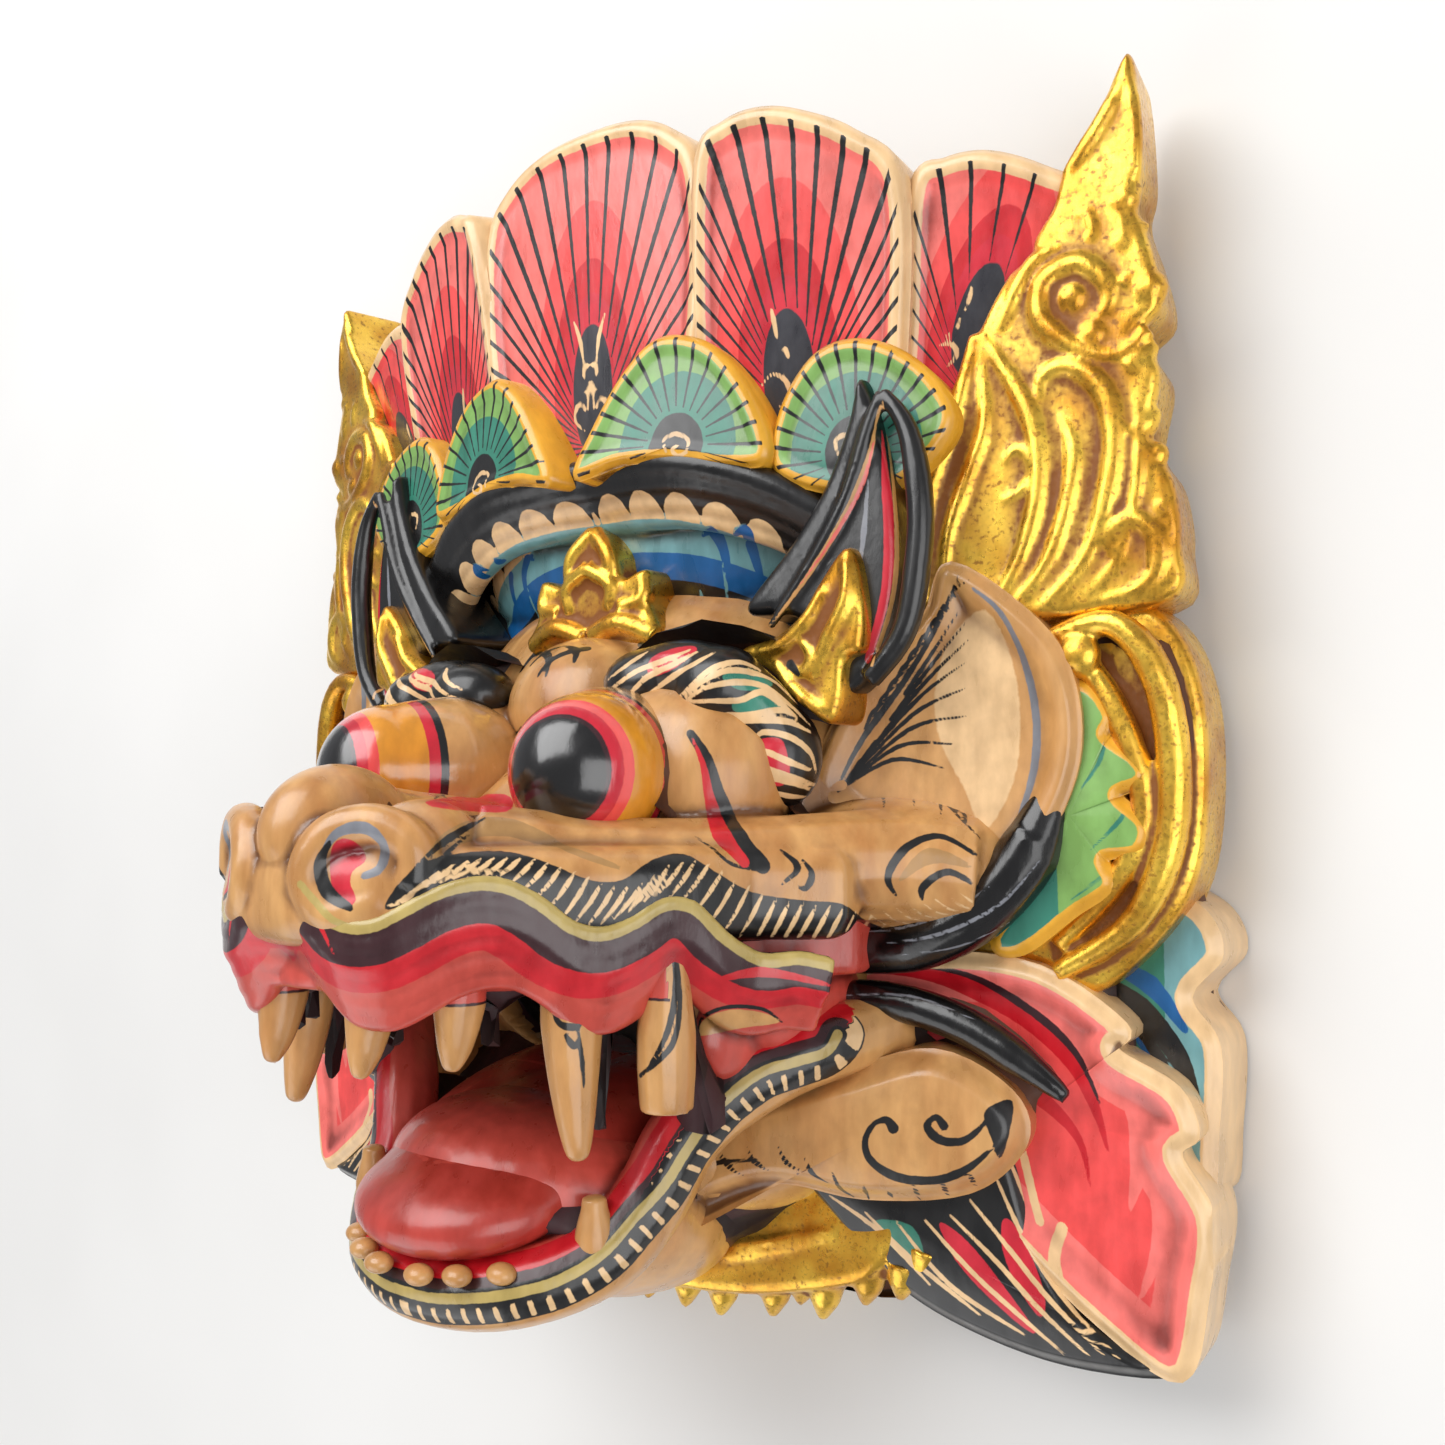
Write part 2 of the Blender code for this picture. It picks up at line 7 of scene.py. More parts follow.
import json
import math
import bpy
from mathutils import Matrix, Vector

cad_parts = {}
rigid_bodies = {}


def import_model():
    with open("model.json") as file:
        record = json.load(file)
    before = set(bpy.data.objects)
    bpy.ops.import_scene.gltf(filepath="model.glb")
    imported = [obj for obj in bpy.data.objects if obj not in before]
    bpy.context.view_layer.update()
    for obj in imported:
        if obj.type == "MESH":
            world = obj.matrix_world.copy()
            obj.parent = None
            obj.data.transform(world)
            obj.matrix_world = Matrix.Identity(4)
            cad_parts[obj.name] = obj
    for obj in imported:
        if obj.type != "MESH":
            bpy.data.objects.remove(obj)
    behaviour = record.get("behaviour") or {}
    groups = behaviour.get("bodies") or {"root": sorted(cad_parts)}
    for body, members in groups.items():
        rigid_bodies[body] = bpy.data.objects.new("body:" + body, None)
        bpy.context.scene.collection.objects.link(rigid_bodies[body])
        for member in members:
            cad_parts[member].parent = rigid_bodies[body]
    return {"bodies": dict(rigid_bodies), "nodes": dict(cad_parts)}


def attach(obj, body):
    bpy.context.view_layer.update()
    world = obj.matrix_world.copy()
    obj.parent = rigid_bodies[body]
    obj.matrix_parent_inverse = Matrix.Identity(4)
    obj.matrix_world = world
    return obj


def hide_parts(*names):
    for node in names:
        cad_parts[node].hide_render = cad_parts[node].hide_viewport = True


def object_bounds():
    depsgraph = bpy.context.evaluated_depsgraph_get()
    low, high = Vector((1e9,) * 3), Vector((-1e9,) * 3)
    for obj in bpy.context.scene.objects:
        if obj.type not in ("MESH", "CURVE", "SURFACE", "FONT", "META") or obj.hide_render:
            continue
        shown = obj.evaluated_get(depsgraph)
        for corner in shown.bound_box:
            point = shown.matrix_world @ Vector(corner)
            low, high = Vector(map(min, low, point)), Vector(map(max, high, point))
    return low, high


bl_info = {
    "name": "Barong Mask",
    "version": (1, 0, 0),
    "blender": (4, 5, 0),
    "location": "3D Viewport > Sidebar > Mask",
    "description": "Builds a carved, painted and gilded barong mask group by group",
    "category": "Add Mesh",
}

import bpy
import numpy as np
from bpy.props import FloatProperty, FloatVectorProperty, PointerProperty
from mathutils import Euler, Matrix, Vector
from mathutils.bvhtree import BVHTree

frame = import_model()

CM = 0.01
MM = 0.001
BODY = sorted(frame["bodies"])[0]
LIMITS = [np.array(corner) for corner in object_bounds()]
FLOOR_GAP = 0.3 * MM
# In mm: how far a coat's field is worked out, and how near its edge no point is dropped
FAR_FIELD = 6.0
EDGE_KEPT = 1.6


# The photograph's camera: where it stands, its axes, and its focal length in pixels

EYE = np.array((0.342, -0.029, 0.436))
LOOK = np.array((-0.61482, 0.05234, -0.78693))
RIGHT = np.array((0.78801, 0.0, -0.61566))
UP = np.array((0.0322, 0.9986, 0.0413))
PHOTO_SIDE = 1445
FOCAL = 1448.0


def length(label, text, value, low, high):
    """A size property of the panel."""
    return FloatProperty(name=label, description=text, default=value, min=low, max=high,
                         unit="LENGTH", precision=4)


def colour(label, text, red, green, blue):
    """A paint property of the panel, given as it looks on a screen."""
    shade = [((c + 0.055) / 1.055) ** 2.4 if c > 0.04045 else c / 12.92 for c in (red, green, blue)]
    return FloatVectorProperty(name=label, description=text, default=shade, min=0, max=1, size=3,
                               subtype="COLOR")


class MaskSizes(bpy.types.PropertyGroup):
    """Sizes of the carving that a user would change."""

    grain: length("Grain", "Mesh size of the fine carving", 0.0011, 0.0008, 0.003)
    petal_thickness: length("Petals", "Thickness of the crown's petals", 0.023, 0.015, 0.035)
    border: length("Border", "Width of a petal's pale border", 0.0062, 0.003, 0.012)
    leaf_border: length("Leaf border", "Width of a leaf's yellow border", 0.0038, 0.002, 0.008)
    wing_thickness: length("Wings", "Thickness of the gilded wings", 0.03, 0.015, 0.036)
    lobe_thickness: length("Lobes", "Thickness of the ears, scrolls and lobes", 0.026, 0.015, 0.03)
    eye_radius: length("Eye", "Radius of an eyeball", 0.0235, 0.018, 0.028)
    tooth_radius: length("Tooth", "Radius of a front tooth at the gum", 0.0075, 0.005, 0.01)


class MaskColours(bpy.types.PropertyGroup):
    """Paints and gilding that a user would change."""

    cream: colour("Cream", "Varnished pale wood", 0.82, 0.62, 0.38)
    pale: colour("Pale", "Pale strokes and borders", 0.91, 0.76, 0.56)
    salmon: colour("Salmon", "Outer field of the petals", 0.96, 0.46, 0.43)
    coral: colour("Coral", "Middle field of the petals", 0.93, 0.30, 0.29)
    crimson: colour("Crimson", "Inner field of the petals", 0.80, 0.12, 0.20)
    red: colour("Red", "Bright red", 0.80, 0.09, 0.14)
    maroon: colour("Maroon", "Dark red-brown band of the lips", 0.22, 0.09, 0.11)
    gum: colour("Gum", "Gums and inside of the mouth", 0.80, 0.30, 0.25)
    tongue: colour("Tongue", "Tongue", 0.74, 0.25, 0.21)
    slate: colour("Slate", "Dark spots of the crown", 0.17, 0.17, 0.20)
    black: colour("Black", "Black paint", 0.055, 0.05, 0.05)
    ochre: colour("Ochre", "Yellow border of the leaves", 0.90, 0.66, 0.18)
    green: colour("Green", "Light green", 0.50, 0.68, 0.36)
    teal: colour("Teal", "Dark green", 0.20, 0.50, 0.42)
    sky: colour("Sky", "Pale blue of the band", 0.44, 0.64, 0.66)
    blue: colour("Blue", "Royal blue", 0.07, 0.36, 0.60)
    grey: colour("Grey", "Grey outlines", 0.50, 0.51, 0.54)
    khaki: colour("Khaki", "Yellow-grey line of the lips", 0.72, 0.63, 0.36)
    orange: colour("Orange", "Ring of the eyes", 0.87, 0.58, 0.15)
    gold: colour("Gold", "Leaf gold", 0.98, 0.80, 0.30)
    worn_gold: colour("Worn gold", "Thin gold over ground", 0.80, 0.55, 0.14)
    # Painted shade: an olive-brown laid beside the carved folds of the face.
    ground: colour("Ground", "Olive-brown shade beside the carved folds", 0.66, 0.50, 0.30)
    # Brown laid in the hollows, part glaze and part painted shade; the plain back also takes it as its base
    # colour.
    stain_and_shade: colour("Stain", "Brown glaze in the cuts", 0.36, 0.20, 0.09)


def sizes():
    return bpy.context.scene.mask_sizes


def paint(name):
    return tuple(getattr(bpy.context.scene.mask_colours, name)) + (1.0,)


# Lines and the photograph

def smooth_line(points, closed=False, steps=5):
    """Points of a smooth curve through a short list of points."""
    knots = np.array(points, float)
    count = len(knots)
    spans = count if closed else count - 1
    result = []
    for i in range(spans):
        if closed:
            a, b, c, d = (knots[(i + k) % count] for k in (-1, 0, 1, 2))
        else:
            a, b, c, d = (knots[min(max(i + k, 0), count - 1)] for k in (-1, 0, 1, 2))
        for j in range(steps):
            t = j / steps
            result.append(0.5 * (2 * b + (c - a) * t + (2 * a - 5 * b + 4 * c - d) * t ** 2
                                 + (3 * b - a - 3 * c + d) * t ** 3))
    if not closed:
        result.append(knots[-1])
    return np.array(result)


def resampled(line, count, closed=False):
    """A line's points moved to even distances."""
    if closed:
        line = np.vstack([line, line[:1]])
    along = np.concatenate([[0], np.cumsum(np.linalg.norm(np.diff(line, axis=0), axis=1))])
    places = np.linspace(0, along[-1], count + 1)[:-1] if closed else np.linspace(0, along[-1], count)
    return np.stack([np.interp(places, along, line[:, k]) for k in range(line.shape[1])], axis=1)


def whole(half):
    """A centre outline from its right half, whose first and last points lie on the middle."""
    return half + [(-p[0],) + tuple(p[1:]) for p in reversed(half[1:-1])]


def whole_path(half):
    """A centre path from its right half, which ends on the middle."""
    return half + [(-p[0],) + tuple(p[1:]) for p in reversed(half[:-1])]


def sight(pixel):
    """The direction in which the camera sees a pixel."""
    across, down = ((c - PHOTO_SIDE / 2) / FOCAL for c in pixel)
    return LOOK + across * RIGHT - down * UP


def on_plane(pixel, height, slope=0.0, start=0.0):
    """Where a pixel's sight meets the plane that falls by slope from height at x = start, in cm."""
    way = sight(pixel)
    normal = np.array((slope, 0.0, 1.0))
    anchor = np.array((start, 0.0, height)) * CM
    return tuple((EYE + way * ((anchor - EYE) @ normal) / (way @ normal)) / CM)


def seen_at(points):
    """The pixels at which the camera sees points, and how many millimetres a pixel is there."""
    away = points - EYE
    depth = away @ LOOK
    pixels = np.stack([PHOTO_SIDE / 2 + FOCAL * (away @ RIGHT) / depth,
                       PHOTO_SIDE / 2 - FOCAL * (away @ UP) / depth], axis=1)
    return pixels, depth / FOCAL / MM


# Solid forms, in carving centimetres

def clear_selection():
    for obj in bpy.context.selected_objects:
        obj.select_set(False)


def slab(outline, front, thickness, turn=(0, 0, 0), edge=0.3):
    """A flat outline of a given thickness, whose front face has rounded edges."""
    points = smooth_line([p[:2] for p in outline], True)
    middle = points.mean(axis=0)
    curve = bpy.data.curves.new("slab", "CURVE")
    curve.dimensions = "2D"
    curve.fill_mode = "BOTH"
    curve.extrude = thickness / 2 - edge * CM
    curve.bevel_depth = edge * CM
    curve.bevel_resolution = 3
    curve.offset = -edge * CM
    spline = curve.splines.new("POLY")
    spline.points.add(len(points) - 1)
    spline.use_cyclic_u = True
    for knot, point in zip(spline.points, points - middle):
        knot.co = (point[0] * CM, point[1] * CM, 0, 1)
    obj = bpy.data.objects.new("slab", curve)
    bpy.context.scene.collection.objects.link(obj)
    obj.location = (middle[0] * CM, middle[1] * CM, front * CM - thickness / 2)
    obj.rotation_euler = turn
    return obj


def tube(path, radius, ends=1.0):
    """A round bar along a path, in cm, tapered to a share of its radius at both ends."""
    points = smooth_line(path)
    curve = bpy.data.curves.new("tube", "CURVE")
    curve.dimensions = "3D"
    curve.bevel_depth = radius * CM
    curve.bevel_resolution = 4
    curve.use_fill_caps = True
    spline = curve.splines.new("POLY")
    spline.points.add(len(points) - 1)
    shares = ends if isinstance(ends, tuple) else (ends, 1.0, ends)
    for i, (knot, point) in enumerate(zip(spline.points, points)):
        knot.co = (*(point * CM), 1)
        knot.radius = float(np.interp(i / (len(points) - 1), np.linspace(0, 1, len(shares)), shares))
    obj = bpy.data.objects.new("tube", curve)
    bpy.context.scene.collection.objects.link(obj)
    return obj


def ball(centre, radii, turn=(0, 0, 0)):
    """An egg with its half-axes in cm."""
    bpy.ops.mesh.primitive_uv_sphere_add(segments=40, ring_count=24, rotation=turn,
                                         location=[c * CM for c in centre])
    obj = bpy.context.object
    obj.scale = [r * CM for r in radii]
    return obj


def spike(root, direction, size, radius, tip=0.3, bend=(0, 0, 0)):
    """A tooth: a blunt cone from its root in cm, along a direction, bent sideways."""
    start = np.array(root, float)
    way = np.array(direction, float)
    way /= np.linalg.norm(way)
    side = np.array(bend, float)
    path = [start + way * size * t + side * t * t for t in (-0.3, 0, 0.25, 0.5, 0.75, 0.95, 1.0)]
    return tube(path, radius, (0.9, 1.0, 1.0, 0.85, 0.65, tip, tip * 0.4))


def plan_slab(plan, low, high, edge):
    """A plan in the X and Z directions, filled between two heights along Y."""
    obj = slab(plan, 0, (high - low) * CM, edge=edge)
    middle = obj.location.copy()
    obj.rotation_euler = (math.radians(90), 0, 0)
    obj.location = (middle.x, (high + low) / 2 * CM, middle.y)
    return obj


def apply_all(obj):
    """Applies an object's modifiers in order."""
    clear_selection()
    bpy.context.view_layer.objects.active = obj
    obj.select_set(True)
    for modifier in list(obj.modifiers):
        bpy.ops.object.modifier_apply(modifier=modifier.name)


def settle(piece):
    """Keeps a piece within the outer sizes that the frame gives."""
    points = np.empty(len(piece.data.vertices) * 3)
    piece.data.vertices.foreach_get("co", points)
    low, high = LIMITS
    piece.data.vertices.foreach_set("co", np.clip(points.reshape(-1, 3), low, high).reshape(-1))
    piece.data.update()


def carve(name, forms, grain=None, soften=3, cuts=(), mirrored=True):
    """Fuses overlapping forms and their mirror images into one piece with one even skin."""
    clear_selection()
    for obj in forms:
        obj.select_set(True)
    bpy.context.view_layer.objects.active = forms[0]
    bpy.ops.object.convert(target="MESH")
    if len(forms) > 1:
        bpy.ops.object.join()
    piece = bpy.context.object
    piece.name = name
    piece.data.name = name
    bpy.ops.object.transform_apply(location=True, rotation=True, scale=True)
    if mirrored:
        mirror = piece.modifiers.new("mirror", "MIRROR")
        mirror.use_mirror_merge = False
    skin = piece.modifiers.new("skin", "REMESH")
    skin.mode = "VOXEL"
    skin.voxel_size = grain or sizes().grain
    for cutter in cuts:
        cut = piece.modifiers.new("cut", "BOOLEAN")
        cut.operation = "DIFFERENCE"
        cut.solver = "MANIFOLD"
        cut.object = cutter
    if soften:
        softer = piece.modifiers.new("softer", "SMOOTH")
        softer.factor = 0.5
        softer.iterations = soften
    apply_all(piece)
    for cutter in cuts:
        bpy.data.objects.remove(cutter)
    if min(v.co.z for v in piece.data.vertices) < FLOOR_GAP:
        bpy.ops.object.mode_set(mode="EDIT")
        bpy.ops.mesh.select_all(action="SELECT")
        bpy.ops.mesh.bisect(plane_co=(0, 0, FLOOR_GAP), plane_no=(0, 0, 1), use_fill=True, clear_inner=True)
        bpy.ops.object.mode_set(mode="OBJECT")
    settle(piece)
    bpy.ops.object.shade_smooth()
    return piece


# Dished forms on a fan of columns, which carry fine rays of paint exactly

def line_distance(points, line, closed=False):
    """Distances from points to a line, and how far along the line the nearest place is."""
    if closed:
        line = np.vstack([line, line[:1]])
    best = np.full(len(points), np.inf)
    place = np.zeros(len(points))
    run = 0.0
    for a, b in zip(line[:-1], line[1:]):
        span = b - a
        size = np.linalg.norm(span)
        if size < 1e-9:
            continue
        share = np.clip((points - a) @ span / size ** 2, 0, 1)
        away = np.linalg.norm(points - a - share[:, None] * span, axis=1)
        nearer = away < best
        best[nearer] = away[nearer]
        place[nearer] = run + share[nearer] * size
        run += size
    return best, place


def dish(outline, hub, front, thickness, turn, profile, columns=160, rings=60, ray_step=8, grow=0.12):
    """A solid leaf with a dished front on columns that fan out from its hub.

    profile gives the front's height from the distance to the rim and the share of the way out.
    """
    knots = smooth_line([p[:2] for p in outline], True)
    middle = knots.mean(axis=0)
    edge = resampled(knots, columns, True)
    tangent = np.roll(edge, -1, axis=0) - np.roll(edge, 1, axis=0)
    normal = np.column_stack([tangent[:, 1], -tangent[:, 0]])
    normal /= np.linalg.norm(normal, axis=1)[:, None]
    turning = np.sum(edge[:, 0] * np.roll(edge[:, 1], -1) - edge[:, 1] * np.roll(edge[:, 0], -1))
    edge = edge + normal * grow * np.sign(turning)
    hub = np.array(hub, float)
    reach = np.linspace(0, 1, rings + 1)[1:] ** 0.9
    flat = np.vstack([[hub], (hub + reach[:, None, None] * (edge - hub)).reshape(-1, 2)])
    rim = line_distance(flat, edge, True)[0]
    share = np.concatenate([[0], np.repeat(reach, columns)])
    half = thickness / CM / 2
    height = half + profile(rim, share)
    top = np.column_stack([flat - middle, height])
    base = np.column_stack([np.vstack([edge, [hub]]) - middle, np.full(columns + 1, -half)])
    around = np.arange(columns)
    after = (around + 1) % columns
    faces = [(0, 1 + i, 1 + j) for i, j in zip(around, after)]
    for ring in range(rings - 1):
        low, high = 1 + ring * columns, 1 + (ring + 1) * columns
        faces += [(low + i, high + i, high + j, low + j) for i, j in zip(around, after)]
    last, bottom = 1 + (rings - 1) * columns, len(flat)
    faces += [(last + i, bottom + i, bottom + j, last + j) for i, j in zip(around, after)]
    faces += [(bottom + i, bottom + columns, bottom + j) for i, j in zip(around, after)]
    if turning < 0:
        faces = [face[::-1] for face in faces]
    turned = np.array(Euler(turn).to_matrix())
    place = np.array((middle[0], middle[1], front - half))
    points = (np.vstack([top, base]) @ turned.T + place) * CM
    spacing = np.linalg.norm(np.roll(edge, -1, axis=0) - edge, axis=1)
    steps = np.minimum(around % ray_step, ray_step - around % ray_step)
    ray = np.concatenate([[0], (reach[:, None] * steps * spacing).reshape(-1)])
    extra = np.full(columns + 1, FAR_FIELD)
    return {"points": points, "faces": faces, "rim": np.concatenate([rim, np.zeros(columns + 1)]),
            "flat": np.vstack([flat, edge, [hub]]), "ray": np.concatenate([ray, extra]),
            "share": np.concatenate([share, np.ones(columns + 1)])}


def assemble(name, parts, both):
    """One piece from dished forms, and the mirror images of those that stand at the side."""
    points, faces, fields = [], [], {key: [] for key in ("rim", "flat", "ray", "share", "part")}
    count = 0
    for number, (part, side_piece) in enumerate(zip(parts, both)):
        for side in ((1, -1) if side_piece else (1,)):
            points.append(part["points"] * (side, 1, 1))
            turn = part["faces"] if side > 0 else [face[::-1] for face in part["faces"]]
            faces += [tuple(i + count for i in face) for face in turn]
            for key in ("rim", "flat", "ray", "share"):
                fields[key].append(part[key])
            fields["part"].append(np.full(len(part["points"]), number))
            count += len(part["points"])
    mesh = bpy.data.meshes.new(name)
    mesh.from_pydata(np.vstack(points).tolist(), [], faces)
    mesh.shade_smooth()
    piece = bpy.data.objects.new(name, mesh)
    bpy.context.scene.collection.objects.link(piece)
    settle(piece)
    clear_selection()
    piece.select_set(True)
    bpy.context.view_layer.objects.active = piece
    bpy.ops.object.shade_smooth_by_angle(angle=math.radians(50))
    return piece, {key: np.concatenate(values) for key, values in fields.items()}


# Paint: each coat is a field of distances to its edge, in millimetres, kept on the piece

def corners(piece):
    """A piece's points, with the left half folded onto the right."""
    points = np.empty(len(piece.data.vertices) * 3)
    piece.data.vertices.foreach_get("co", points)
    points = points.reshape(-1, 3)
    points[:, 0] = np.abs(points[:, 0])
    return points


def keep(piece, name, values):
    """Stores a field on a piece's points."""
    attribute = piece.data.attributes.new(name, "FLOAT", "POINT")
    attribute.data.foreach_set("value", values.astype(np.float32))


def skin_of(piece):
    """A search tree of a piece's faces."""
    return BVHTree.FromPolygons([v.co for v in piece.data.vertices],
                                [tuple(f.vertices) for f in piece.data.polygons])


def traced(skin, pixels, steps=6):
    """Where a line drawn over the photograph falls on a piece."""
    points = []
    for pixel in smooth_line(pixels, steps=steps):
        hit = skin.ray_cast(Vector(EYE), Vector(sight(pixel)).normalized())[0]
        if hit is not None:
            points.append((abs(hit.x), hit.y, hit.z))
    return np.array(points)


def line_field(points, skin, pixels, widths):
    """Millimetres from a stroke's edge: negative inside it. widths run along the stroke."""
    field = np.full(len(points), FAR_FIELD)
    path = traced(skin, pixels)
    if len(path) < 2:
        return field
    halves = np.interp(np.linspace(0, 1, len(path)), np.linspace(0, 1, len(widths)), widths) / 2
    margin = (halves.max() + FAR_FIELD / 2) * MM
    near = np.where(np.all((points > path.min(axis=0) - margin)
                           & (points < path.max(axis=0) + margin), axis=1))[0]
    close = points[near]
    best = np.full(len(near), FAR_FIELD)
    for a, b, wide_a, wide_b in zip(path[:-1], path[1:], halves[:-1], halves[1:]):
        span = b - a
        size = span @ span
        if size > (8 * MM) ** 2:
            continue
        share = np.clip((close - a) @ span / max(size, 1e-12), 0, 1)
        away = np.linalg.norm(close - a - share[:, None] * span, axis=1) / MM
        best = np.minimum(best, away - wide_a - (wide_b - wide_a) * share)
    field[near] = best
    return field


def area_field(points, pixels):
    """Millimetres from the edge of an area drawn over the photograph: negative inside it."""
    corner = smooth_line(pixels, True, 4)
    seen, scale = seen_at(points)
    margin = 20
    near = np.where(np.all((seen > corner.min(axis=0) - margin)
                           & (seen < corner.max(axis=0) + margin), axis=1))[0]
    field = np.full(len(points), FAR_FIELD)
    close = seen[near]
    inside = np.zeros(len(near), bool)
    after = np.roll(corner, -1, axis=0)
    for a, b in zip(corner, after):
        crosses = (a[1] > close[:, 1]) != (b[1] > close[:, 1])
        rise = b[1] - a[1] if b[1] != a[1] else 1e-9
        inside ^= crosses & (close[:, 0] < (b[0] - a[0]) * (close[:, 1] - a[1]) / rise + a[0])
    away = line_distance(close, corner, True)[0] * scale[near]
    field[near] = np.where(inside, -away, away)
    return field


def line(pixels, *widths):
    return ("line", pixels, widths)


def area(pixels):
    return ("area", pixels, ())


def marks(piece, drawn, points=None, skin=None):
    """One coat's field from the strokes and areas that are drawn for it."""
    points = corners(piece) if points is None else points
    skin = skin or skin_of(piece)
    field = np.full(len(points), FAR_FIELD)
    for kind, pixels, widths in drawn:
        if kind == "line":
            field = np.minimum(field, line_field(points, skin, pixels, widths))
        else:
            field = np.minimum(field, area_field(points, pixels))
    return field


def relief(piece, rounds=14):
    """Keeps how far each point lies below or above its surroundings, in millimetres."""
    mesh = piece.data
    edges = np.empty(len(mesh.edges) * 2, int)
    mesh.edges.foreach_get("vertices", edges)
    start, end = edges[::2], edges[1::2]
    points = np.empty(len(mesh.vertices) * 3)
    mesh.vertices.foreach_get("co", points)
    points = points.reshape(-1, 3)
    normals = np.empty(len(mesh.vertices) * 3)
    mesh.vertices.foreach_get("normal", normals)
    count = len(points)
    degree = np.bincount(start, minlength=count) + np.bincount(end, minlength=count)
    smooth = points.copy()
    for _ in range(rounds):
        total = np.stack([np.bincount(start, smooth[end, k], count)
                          + np.bincount(end, smooth[start, k], count) for k in range(3)], axis=1)
        smooth = total / np.maximum(degree, 1)[:, None]
    keep(piece, "hollow", np.einsum("ij,ij->i", smooth - points, normals.reshape(-1, 3)) / MM)


# Materials

GRAIN_TINT = (0.56, 0.33, 0.14, 1)
BRUSH_DARK = (0.80, 0.78, 0.76, 1)
BRUSH_LIGHT = (1.08, 1.08, 1.08, 1)
SPECKLE_TINT = (0.30, 0.13, 0.02, 1)
# Brown of the gold's cuts, part glaze and part painted shade.
CUT_GLAZE_AND_SHADE = (0.22, 0.07, 0.008, 1)


def add(tree, kind, inputs=None, **settings):
    """A shader node with its inputs, each a value or another node's output."""
    node = tree.nodes.new(kind)
    for key, value in settings.items():
        setattr(node, key, value)
    for key, value in (inputs or {}).items():
        if isinstance(value, bpy.types.NodeSocket):
            tree.links.new(value, node.inputs[key])
        else:
            node.inputs[key].default_value = value
    return node


def mixed(tree, factor, low, high, blend="MIX"):
    return add(tree, "ShaderNodeMix", {0: factor, 6: low, 7: high}, data_type="RGBA",
               blend_type=blend).outputs[2]


def ranged(tree, value, low, high, to_low=0.0, to_high=1.0):
    return add(tree, "ShaderNodeMapRange", {0: value, 1: low, 2: high, 3: to_low, 4: to_high}).outputs[0]


def calc(tree, operation, a, b=0.0):
    return add(tree, "ShaderNodeMath", {0: a, 1: b}, operation=operation).outputs[0]


def noise(tree, scale, stretch=(1, 1, 1), detail=3.0):
    """Noise on the object's coordinates."""
    place = add(tree, "ShaderNodeTexCoord").outputs["Object"]
    spot = add(tree, "ShaderNodeMapping", {"Vector": place, "Scale": stretch}).outputs[0]
    return add(tree, "ShaderNodeTexNoise", {"Vector": spot, "Scale": scale, "Detail": detail}).outputs[0]


def field(tree, name):
    return add(tree, "ShaderNodeAttribute", attribute_name=name).outputs["Fac"]


def new_material(name):
    material = bpy.data.materials.new(name)
    material.use_nodes = True
    tree = material.node_tree
    return material, tree, tree.nodes["Principled BSDF"]


def thin_out(piece, fields, share):
    """Drops points away from every coat's edge, down to a share of the faces."""
    count = len(piece.data.vertices)
    away = np.min(np.abs(np.array(fields)), axis=0) if len(fields) else np.full(count, FAR_FIELD)
    group = piece.vertex_groups.new(name="plain")
    group.add(np.where(away > EDGE_KEPT)[0].tolist(), 1.0, "REPLACE")
    fewer = piece.modifiers.new("fewer", "DECIMATE")
    fewer.ratio = share
    fewer.vertex_group = "plain"
    fewer.vertex_group_factor = 1.0
    apply_all(piece)
    piece.vertex_groups.clear()


def lacquer(piece, base, coats, wood=0.5, stain_and_shade=0.8, gloss=0.24, gleam=0.45, share=0.45):
    """Varnished paint: a ground colour, coats laid over it in order and brown glaze in the cuts."""
    material, tree, shader = new_material(piece.name + "_paint")
    wobble = calc(tree, "MULTIPLY", calc(tree, "SUBTRACT", noise(tree, 420), 0.5), 0.5)
    tint = paint(base)
    streaks = noise(tree, 90, (1.0, 0.16, 1.0), 5.0)
    tint = mixed(tree, ranged(tree, streaks, 0.35, 0.7, 0.0, wood), tint, GRAIN_TINT, "MULTIPLY")
    for number, (name, values) in enumerate(coats):
        coat = "coat_%02d" % number
        keep(piece, coat, values)
        edge = calc(tree, "ADD", field(tree, coat), wobble)
        tint = mixed(tree, ranged(tree, edge, -0.14, 0.14, 1.0, 0.0), tint, paint(name))
    brush = noise(tree, 160, (1.0, 0.35, 1.0), 4.0)
    tint = mixed(tree, 1.0, tint, mixed(tree, ranged(tree, brush, 0.3, 0.7), BRUSH_DARK,
                                        BRUSH_LIGHT), "MULTIPLY")
    relief(piece)
    # Brown in the hollows, the deeper the browner: part glaze, part painted shade.
    deep = calc(tree, "ADD", field(tree, "hollow"), calc(tree, "MULTIPLY", noise(tree, 130), 0.5))
    tint = mixed(tree, ranged(tree, deep, 0.22, 0.9, 0.0, stain_and_shade), tint, paint("stain_and_shade"), "MULTIPLY")
    tree.links.new(tint, shader.inputs["Base Color"])
    tree.links.new(ranged(tree, brush, 0.3, 0.75, gloss, gloss + 0.22), shader.inputs["Roughness"])
    shader.inputs["Coat Weight"].default_value = gleam
    shader.inputs["Coat Roughness"].default_value = 0.2
    rough = add(tree, "ShaderNodeBump", {"Strength": 0.22, "Distance": 0.0006,
                                         "Height": noise(tree, 260, (1.0, 0.45, 1.0), 5.0)}).outputs[0]
    tree.links.new(rough, shader.inputs["Normal"])
    tree.links.new(rough, shader.inputs["Coat Normal"])
    piece.data.materials.clear()
    piece.data.materials.append(material)
    if share < 1:
        thin_out(piece, [values for name, values in coats], share)


